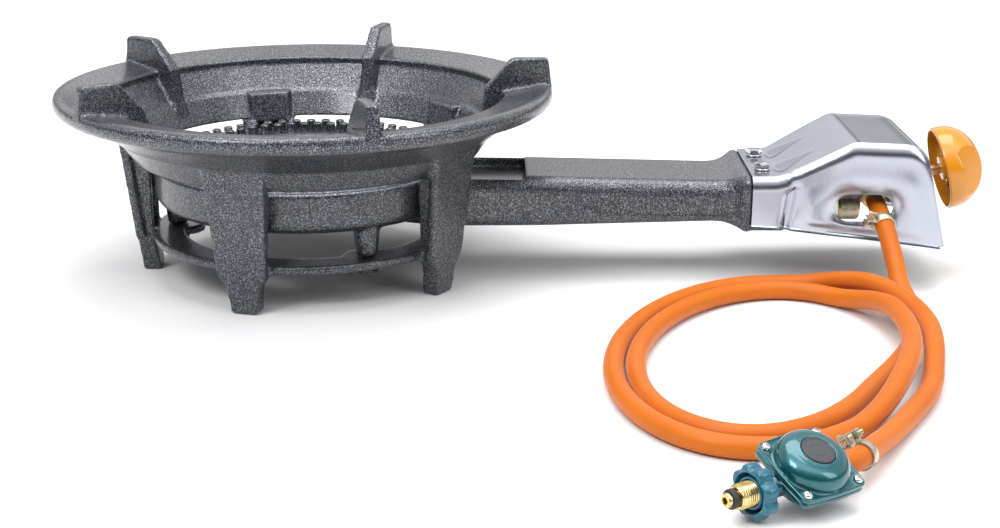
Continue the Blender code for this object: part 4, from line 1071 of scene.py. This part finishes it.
def make_hose():
    """An extruded hose with faint ribs along it; its map runs round it and along it in metres."""
    route = hose_route()
    steps = 48
    body = bmesh.new()
    layer = body.loops.layers.uv.new("along")
    side = None
    rows = []
    travelled = [0.0]
    for i, point in enumerate(route):
        way = (route[min(i + 1, len(route) - 1)] - route[max(i - 1, 0)]).normalized()
        if side is None:
            side = way.cross(Vector((0.0, 0.0, 1.0))).normalized()
        side = (side - way * side.dot(way)).normalized()
        up = side.cross(way)
        end = min(i, len(route) - 1 - i)
        radius = HOSE_RADIUS - (0.5 if end == 0 else 0.0)
        row = []
        for k in range(steps):
            angle = 2.0 * pi * k / steps
            ripple = radius - 0.045 * (k % 2)
            row.append(body.verts.new(
                point + side * ripple * cos(angle) + up * ripple * sin(angle)))
        rows.append(row)
        if i:
            travelled.append(travelled[-1] + (point - route[i - 1]).length)
    for i, (near, far) in enumerate(zip(rows, rows[1:])):
        for k in range(steps):
            j = (k + 1) % steps
            face = body.faces.new((near[k], near[j], far[j], far[k]))
            for loop, (u, v) in zip(face.loops, ((k, i), (k + 1, i), (k + 1, i + 1), (k, i + 1))):
                loop[layer].uv = (u / steps, travelled[v] * MM)
    body.faces.new(list(reversed(rows[0])))
    body.faces.new(rows[-1])
    bmesh.ops.recalc_face_normals(body, faces=body.faces)
    hose = show("gas_hose", ("hose_lead", "hose_coil", "hose_tail"), body, HOSE_RUBBER, sharp=50.0)
    hose.visible_glossy = False


# The hose clamps --------------------------------------------------------------------------------
CLAMP_WIDTH = 6.0
CLAMP_INNER = HOSE_RADIUS + 0.54
CLAMP_OUTER = CLAMP_INNER + 0.8
EAR_LENGTH = 6.5
EAR_GAP = 3.0


def clamp_frame(near, far, ears):
    """Midway between two points of the hose, local Z along it and local X towards the ears."""
    z = (Vector(far) - Vector(near)).normalized()
    x = (Vector(ears) - z * z.dot(Vector(ears))).normalized()
    turn = Matrix((x, z.cross(x), z)).transposed().to_4x4()
    return Matrix.Translation((Vector(near) + Vector(far)) / 2.0) @ turn


def make_clamp(number, near, far, ears):
    place = BURNER @ clamp_frame(near, far, ears)
    half = CLAMP_WIDTH / 2.0
    gap = math.degrees(math.asin(EAR_GAP / 2.0 / CLAMP_OUTER))
    middle = (CLAMP_INNER + CLAMP_OUTER) / 2.0
    line = [(CLAMP_OUTER + EAR_LENGTH - 0.5, EAR_GAP / 2.0 + 0.45)]
    line += [(CLAMP_OUTER + 0.6, EAR_GAP / 2.0 + 0.45)]
    line += arc((0.0, 0.0), middle, gap + 4.0, 356.0 - gap, 64)
    line += [(x, -y) for x, y in reversed(line[:2])]
    line = filleted(line, 1.0, 2, loop=False)
    strip = []
    for i, point in enumerate(line):
        ahead = Vector(line[min(i + 1, len(line) - 1)]) - Vector(line[max(i - 1, 0)])
        normal = Vector((ahead.y, -ahead.x)).normalized() * 0.4
        outer, inner = Vector(point) + normal, Vector(point) - normal
        strip.append([(outer.x, outer.y, -half), (outer.x, outer.y, half),
                      (inner.x, inner.y, half), (inner.x, inner.y, -half)])
    screw_x = CLAMP_OUTER - 0.5 + EAR_LENGTH * 0.62
    across = at(screw_x, 0.0, 0.0) @ turned(-90.0, "X")
    hole = moved(cylinder(1.6, -7.0, 7.0, 20), across)
    windows = []
    for turn in (150.0, 180.0, 210.0):
        window = prism(filleted(((5.0, -1.1), (9.0, -1.1), (9.0, 1.1), (5.0, 1.1)), 0.1, 1), -1.7, 1.7)
        windows.append(moved(window, around_z(turn)))
    band = rounded_edges(less(skin(strip), hole, *windows), 0.16, 2, 50.0)
    show(f"clamp_strap_{number}", (f"clamp_band_{number}",), band, ZINC, place)

    nut = prism([(-2.4, -2.4), (2.4, -2.4), (2.4, 2.4), (-2.4, 2.4)], 2.7, 4.5)
    nut = rounded_edges(less(nut, cylinder(1.55, 0.0, 6.0, 20)), 0.3, 2)
    show(f"clamp_square_nut_{number}", (f"clamp_nut_{number}",), moved(nut, across), ZINC, place)

    thread = [(0.0, 7.0), (0.9, 7.0)] + [(1.25 - 0.16 * (i % 2), 6.6 - 0.35 * i) for i in range(27)]
    shank = moved(lathe(thread + [(1.25, -6.0), (0.0, -6.0)], 20), across)
    outer = filleted(((-4.7, -8.0), (4.7, -8.0), (1.2, -2.7), (-1.2, -2.7)), 1.6, 4)
    inner = filleted(((-2.5, -7.1), (2.5, -7.1), (0.5, -4.2), (-0.5, -4.2)), 0.6, 3)
    wing = less(prism(outer, -0.6, 0.6), prism(inner, -2.0, 2.0))
    wing = moved(rounded_edges(wing, 0.3, 2), at(screw_x, 0.0, 0.0))
    show(f"clamp_wing_screw_{number}", (f"clamp_screw_{number}",), merged(shank, wing), ZINC, place)


# The regulator ----------------------------------------------------------------------------------
REGULATOR_HALF = 16.7
FLANGE_CORNER = 3.9
FLANGE_BULGE = 21.35             # from the middle to the middle of a side of the flange
DOME_FOOT = 19.5
CAP_WELL = 9.8
SPRING_TURNS = 3.0
SPRING_STEPS = 96
SPRING_RADIUS = 5.8
SPRING_LENGTH = 6.8
SCREW_PLACES = [(sx * REGULATOR_HALF, sy * REGULATOR_HALF)
                for sx, sy in ((-1, -1), (1, -1), (1, 1), (-1, 1))]
INLET_AXIS = at(0.0, 0.0, REGULATOR_AXIS) @ ALONG_MINUS_X
OUTLET_LINE = at(0.0, 0.0, REGULATOR_AXIS) @ ALONG_X


def flange_outline():
    points = []
    for start, sx, sy in ((-90.0, 1, -1), (0.0, 1, 1), (90.0, -1, 1), (180.0, -1, -1)):
        points += arc((sx * REGULATOR_HALF, sy * REGULATOR_HALF), FLANGE_CORNER,
                      start + 12.0, start + 78.0, 6)
        ahead, across = radians(start + 90.0), radians(start + 180.0)
        for t in (-0.75, -0.5, -0.25, 0.0, 0.25, 0.5, 0.75):
            reach = FLANGE_BULGE - t * t
            slide = t * REGULATOR_HALF
            points.append((reach * cos(ahead) + slide * cos(across),
                           reach * sin(ahead) + slide * sin(across)))
    return points


def outline_reach(outline, angle):
    """How far the outline is from its centre at an angle."""
    way = Vector((cos(angle), sin(angle)))
    for near, far in zip(outline, outline[1:] + outline[:1]):
        start, edge = Vector(near), Vector(far) - Vector(near)
        cross = way.x * edge.y - way.y * edge.x
        if abs(cross) < 1e-9:
            continue
        distance = (start.x * edge.y - start.y * edge.x) / cross
        share = (start.x * way.y - start.y * way.x) / cross
        if distance > 0.0 and -1e-6 <= share <= 1.0 + 1e-6:
            return distance
    return FLANGE_BULGE


def flange_rings(steps, layers):
    """Rings at (kind, size, height): a flange ring's size is its inset, a round ring's its radius."""
    outline = flange_outline()
    angles = [2.0 * pi * i / steps for i in range(steps)]
    reaches = [outline_reach(outline, angle) for angle in angles]
    return [
        [round_about(reach - size if kind == "flange" else size, angle, height)
         for angle, reach in zip(angles, reaches)]
        for kind, size, height in layers
    ]


def make_regulator_cover():
    dome = []
    for i in range(17):
        rise = radians(90.0 * i / 17)
        radius = CAP_WELL + (DOME_FOOT - CAP_WELL) * cos(rise) ** 0.8
        dome.append(("round", radius, 2.6 + 9.3 * sin(rise)))
    body = skin(flange_rings(192, [
        ("flange", 3.0, 1.0), ("flange", 1.0, 0.35), ("flange", 0.3, 0.4), ("flange", 0.0, 0.8),
        ("flange", 0.0, 2.5), ("flange", 0.25, 2.95), ("flange", 0.7, 3.1), ("flange", 1.15, 2.9),
        ("flange", 1.5, 2.4), ("flange", 1.75, 2.3), ("round", 19.6, 2.35),
    ] + dome + [
        ("round", 9.7, 12.2), ("round", 9.5, 12.45), ("round", 9.2, 12.45), ("round", 9.0, 12.2),
        ("round", 8.95, 11.4), ("round", 0.4, 11.35),
    ]))
    hollow = lathe([(0.0, 9.8), (9.4, 9.8), (13.0, 8.0), (15.6, 4.6), (16.4, 2.0), (16.4, -3.0),
                    (0.0, -3.0)], 96)
    holes, bosses = [], []
    for x, y in SCREW_PLACES:
        holes.append(moved(cylinder(1.7, -4.0, 8.0, 20), at(x, y, 0.0)))
        bosses.append(moved(lathe([(0.0, 2.95), (3.0, 2.95), (3.4, 2.6), (3.5, 1.5), (0.0, 1.5)], 40),
                            at(x, y, 0.0)))
    pockets = [moved(lathe([(0.0, 3.0), (3.5, 3.0), (3.9, 3.4), (4.3, 7.0), (0.0, 7.0)], 40),
                     at(x, y, 0.0)) for x, y in SCREW_PLACES]
    body = cast(merged(less(body, *pockets), *bosses), 0.42, 2)
    body = less(body, hollow, *holes)
    show("regulator_bonnet", ("regulator_cover",), body, TEAL, REGULATOR, sharp=60.0)


def make_regulator_body():
    layers = [
        ("flange", 1.2, 0.0), ("flange", 0.4, -0.1), ("flange", 0.0, -0.5), ("flange", 0.0, -2.4),
        ("flange", 0.5, -3.0), ("flange", 3.0, -3.3),
    ]
    flange = skin(flange_rings(192, layers))
    bowl = lathe([(0.0, -2.0), (17.0, -2.0), (16.6, -6.0), (15.8, -9.6), (14.4, -12.6),
                  (12.6, -14.2), (11.0, -14.8), (0.0, -14.8)], 96)
    inlet = moved(lathe([(0.0, 10.0), (5.9, 10.0), (5.9, 22.6), (5.3, 23.9), (0.0, 23.9)], 48),
                  INLET_AXIS)
    outlet = moved(lathe([(0.0, 10.0), (6.4, 12.0), (6.2, 22.0), (5.4, 23.0), (4.2, 23.4),
                          (4.2, OUTLET_END - 0.4), (0.0, OUTLET_END - 0.1)], 48), OUTLET_LINE)
    body = cast(merged(flange, bowl, inlet, outlet), 0.5, 2)
    cavity = lathe([(0.0, 5.0), (17.6, 5.0), (17.6, -0.9), (13.2, -1.0), (13.2, -9.5),
                    (10.5, -11.4), (0.0, -11.4)], 64)
    bores = [moved(cylinder(2.4, 5.0, 40.0, 20), OUTLET_LINE),
             moved(cylinder(2.0, 5.0, 40.0, 20), INLET_AXIS)]
    bores += [moved(cylinder(1.7, -8.0, 8.0, 20), at(x, y, 0.0))
              for x, y in SCREW_PLACES]
    show("regulator_lower_body", ("regulator_body",), less(body, cavity, *bores),
         TEAL, REGULATOR, sharp=60.0)


def make_regulator_trim():
    cap = lathe([(0.0, 12.45), (3.6, 12.45), (3.8, 12.3), (4.1, 12.3), (4.3, 12.45), (7.3, 12.5),
                 (7.6, 12.8), (8.2, 12.8), (8.6, 12.4), (8.7, 11.7), (0.0, 11.7)], 96)
    show("bonnet_cap", ("regulator_cap",), cap, CAP_PLASTIC, REGULATOR)
    for i, (x, y) in enumerate(SCREW_PLACES):
        head = lathe([(0.0, 1.75), (1.2, 1.65), (2.1, 1.2), (2.5, 0.5), (2.5, 0.0), (1.3, 0.0)]
                     + [(1.3 - 0.15 * (k % 2), -0.3 - 0.3 * k) for k in range(16)]
                     + [(0.9, -5.2), (0.0, -5.2)], 32)
        cross = [moved(prism([(-1.6, -0.3), (1.6, -0.3), (1.6, 0.3), (-1.6, 0.3)], 0.8, 3.0),
                       around_z(turn + 25.0 * i)) for turn in (0.0, 90.0)]
        body = rounded_edges(less(head, *cross), 0.06, 1, 40.0)
        show(f"bonnet_screw_{i + 1}", (f"regulator_screw_{i + 1}",), moved(body, at(x, y, 3.2)),
             STEEL, REGULATOR)
    diaphragm = lathe([(0.0, -0.1), (9.4, -0.1), (10.2, -0.4), (12.4, -0.6), (13.6, -0.4),
                       (14.4, -0.1), (17.2, -0.1), (17.2, -0.7), (14.4, -0.7), (13.4, -1.0),
                       (12.4, -1.2), (10.2, -1.0), (9.4, -0.7), (0.0, -0.7)], 64)
    show("rubber_diaphragm", ("regulator_diaphragm",), diaphragm, BLACK_RUBBER, REGULATOR)
    disc = lathe([(0.0, 0.8), (4.4, 0.8), (5.0, 1.1), (7.6, 1.1), (8.0, 0.7), (8.5, 0.6),
                  (8.6, 0.2), (0.0, 0.2)], 64)
    show("pressure_disc", ("diaphragm_plate",), disc, STEEL, REGULATOR)
    helix = []
    for i in range(SPRING_STEPS + 1):
        angle = 2.0 * pi * SPRING_TURNS * i / SPRING_STEPS
        helix.append(round_about(SPRING_RADIUS, angle, 2.0 + SPRING_LENGTH * i / SPRING_STEPS))
    show("loading_spring", ("regulator_spring",), coil_wire(helix, 0.6, 12), STEEL, REGULATOR)
    lever = prism(filleted(((-11.0, -1.6), (-7.0, -1.6), (-5.0, -1.1), (1.0, -1.1), (3.0, -1.6),
                            (3.0, 1.6), (1.0, 1.1), (-5.0, 1.1), (-7.0, 1.6), (-11.0, 1.6)), 0.6, 3),
                  -5.2, -4.2)
    lever = rounded_edges(less(lever, moved(cylinder(0.7, -7.0, -3.0, 16),
                                            at(-9.2, 0.0, 0.0))), 0.12, 1)
    show("valve_lever", ("regulator_lever",), lever, STEEL, REGULATOR)


# The hand connector -----------------------------------------------------------------------------
WHEEL_START = 28.5
WHEEL_LOBES = 8
SEAL_NEAR, SEAL_FAR = 46.6, 50.0
SLEEVE_PITCH = 1.35
SLEEVE_THREADS = 7


def make_handwheel():
    steps = WHEEL_LOBES * 24
    layers = [
        (7.05, 0.0, 0.3), (9.5, 0.0, 0.0), (11.0, 0.7, 0.1), (12.2, 1.0, 0.5), (12.9, 1.1, 1.3),
        (13.05, 1.15, 2.4), (13.05, 1.15, 6.4), (12.8, 1.1, 7.6), (12.2, 1.0, 8.4),
        (11.4, 0.7, 8.9), (10.7, 0.3, 8.95), (10.3, 0.1, 8.6), (10.1, 0.0, 7.9), (9.5, 0.0, 2.2),
        (9.0, 0.0, 1.5), (8.7, 0.0, 2.0), (8.35, 0.0, 7.6), (8.1, 0.0, 8.2), (7.6, 0.0, 8.4),
        (7.05, 0.0, 8.2),
    ]
    rings = []
    for radius, lobe, height in layers:
        ring = []
        for i in range(steps):
            turn = 2.0 * pi * i / steps
            wave = cos(turn * WHEEL_LOBES)
            swell = wave + 0.22 * (1.0 - wave * wave)
            ring.append(round_about(radius + lobe * swell, turn, height + WHEEL_START))
        rings.append(ring)
    wheel = skin(rings, closed_path=True)
    show("connector_handwheel", ("handwheel",), moved(wheel, INLET_AXIS),
         WHEEL_PLASTIC, REGULATOR, WHEEL_GROUP, sharp=50.0)


def make_connector():
    profile = [(4.6, 46.0), (5.6, 46.0), (6.0, 45.5), (6.0, 44.9)]
    for i in range(SLEEVE_THREADS):
        base = 44.6 - SLEEVE_PITCH * i
        profile += [(5.95, base), (6.45, base - SLEEVE_PITCH * 0.32),
                    (6.45, base - SLEEVE_PITCH * 0.52), (5.95, base - SLEEVE_PITCH * 0.84)]
    profile += [(6.0, 34.6), (6.7, 34.0), (6.7, 28.0), (4.6, 28.0)]
    show("threaded_sleeve", ("connector_sleeve",), moved(lathe(profile, 64, closed=True), INLET_AXIS),
         BRASS, REGULATOR, WHEEL_GROUP)

    stem = lathe([
        (0.0, 52.4), (2.9, 52.4), (3.4, 52.2), (3.7, 51.6), (3.7, SEAL_FAR + 0.3),
        (2.9, SEAL_FAR + 0.3), (2.9, SEAL_NEAR - 0.3), (4.5, SEAL_NEAR - 0.5), (4.5, 46.2),
        (4.2, 46.0), (4.2, 27.4), (6.2, 27.0), (6.2, 26.0), (5.8, 25.8), (5.8, 25.4), (6.2, 25.2),
        (6.2, 24.3), (0.0, 24.3)], 64)
    bore = lathe([(0.0, 53.0), (2.3, 53.0), (1.9, 51.9), (1.9, 44.0), (0.9, 43.2), (0.9, 20.0),
                  (0.0, 20.0)], 6)
    show("inlet_nose", ("inlet_stem",), moved(less(stem, bore), INLET_AXIS), BRASS, REGULATOR)

    seal = lathe(
        [(3.2, SEAL_NEAR), (4.2, SEAL_NEAR)]
        + arc((4.2, SEAL_NEAR + 0.8), 0.8, -90.0, 0.0, 5)
        + arc((4.2, SEAL_FAR - 0.9), 0.9, 0.0, 90.0, 5) + [(3.2, SEAL_FAR)], 64, closed=True)
    show("nose_rubber_ring", ("nose_seal",), moved(seal, INLET_AXIS), BLACK_RUBBER, REGULATOR)


# Studio -----------------------------------------------------------------------------------------
def make_floor():
    body = bmesh.new()
    bmesh.ops.create_grid(body, x_segments=1, y_segments=1, size=30.0)
    mesh = mesh_from("studio_floor", body)
    material, shader = new_material("studio_paper")
    put(shader, {"Base Color": (0.82, 0.82, 0.82, 1.0), "Roughness": 0.9, "Specular IOR Level": 0.1})
    mesh.materials.append(material)
    floor = placed("studio_floor", mesh)
    floor.location = (0.0, 0.0, -0.0004)


def softbox(name, place, target, width, height, power):
    data = bpy.data.lights.new(name, "AREA")
    data.shape = "RECTANGLE"
    data.size = width
    data.size_y = height
    data.energy = power
    light = placed(name, data)
    light.location = place
    way = Vector(target) - Vector(place)
    light.rotation_euler = way.to_track_quat("-Z", "Y").to_euler()


FRONT_WALL = (                  # height of the direction looked in, brightness
    (0.0, 0.45), (0.03, 0.30), (0.09, 0.06), (0.38, 0.05), (0.52, 0.40), (0.70, 0.60), (0.84, 2.1),
)
BACK_WALL = (
    (0.0, 0.49), (0.02, 0.45), (0.09, 0.20), (0.14, 0.06), (0.18, 0.10), (0.24, 0.80),
    (0.36, 0.92), (0.50, 0.70), (0.75, 0.60),
)


def make_world():
    """A studio with a bright wall behind the object and a dark room in front of it."""
    world = bpy.data.worlds.new("studio")
    bpy.context.scene.world = world
    world.use_nodes = True
    world.node_tree.nodes.clear()
    split = node(world, "ShaderNodeSeparateXYZ")
    background = node(world, "ShaderNodeBackground")
    link(world, node(world, "ShaderNodeTexCoord").outputs["Generated"], split.inputs["Vector"])
    walls = [
        ramp(world, split.outputs["Z"], [(z, (value, value, value * 1.02)) for z, value in stops])
        for stops in (FRONT_WALL, BACK_WALL)
    ]
    facing = spread(world, split.outputs["Y"], 0.0, 1.0, -0.25, 0.25)
    link(world, mixed(world, *walls, facing), background.inputs["Color"])
    put(background, {"Strength": 1.3})
    output = node(world, "ShaderNodeOutputWorld")
    link(world, background.outputs["Background"], output.inputs["Surface"])


def make_studio():
    make_floor()
    make_world()
    middle = (0.0, -0.1, 0.05)
    softbox("key", (-0.9, -1.1, 1.35), middle, 0.7, 0.7, 15.0)
    softbox("overhead", (0.05, 0.25, 1.7), middle, 1.5, 1.0, 20.0)
    softbox("fill", (1.3, -0.9, 0.9), (0.15, -0.1, 0.05), 0.6, 0.9, 7.0)
    bpy.context.scene.view_settings.view_transform = "Standard"


make_stand()
make_burner()
make_head()
make_burner_bolts()
make_cover()
make_cover_screws()
make_valve()
make_knob()
make_clamp(1, LEAD_ROUTE[2], LEAD_ROUTE[3], (-1.0, 0.0, 0.35))
make_clamp(2, TAIL_ROUTE[8], TAIL_ROUTE[7], (-0.6, 0.1, 0.75))
make_regulator_cover()
make_regulator_body()
make_regulator_trim()
make_handwheel()
make_connector()
REGULATOR_PIECES = [
    "regulator_bonnet", "regulator_lower_body", "bonnet_cap", "rubber_diaphragm", "pressure_disc",
    "loading_spring", "valve_lever", "connector_handwheel", "threaded_sleeve", "inlet_nose",
    "nose_rubber_ring",
]
REGULATOR_PIECES += [f"bonnet_screw_{i}" for i in range(1, 5)]
make_hose()
make_studio()
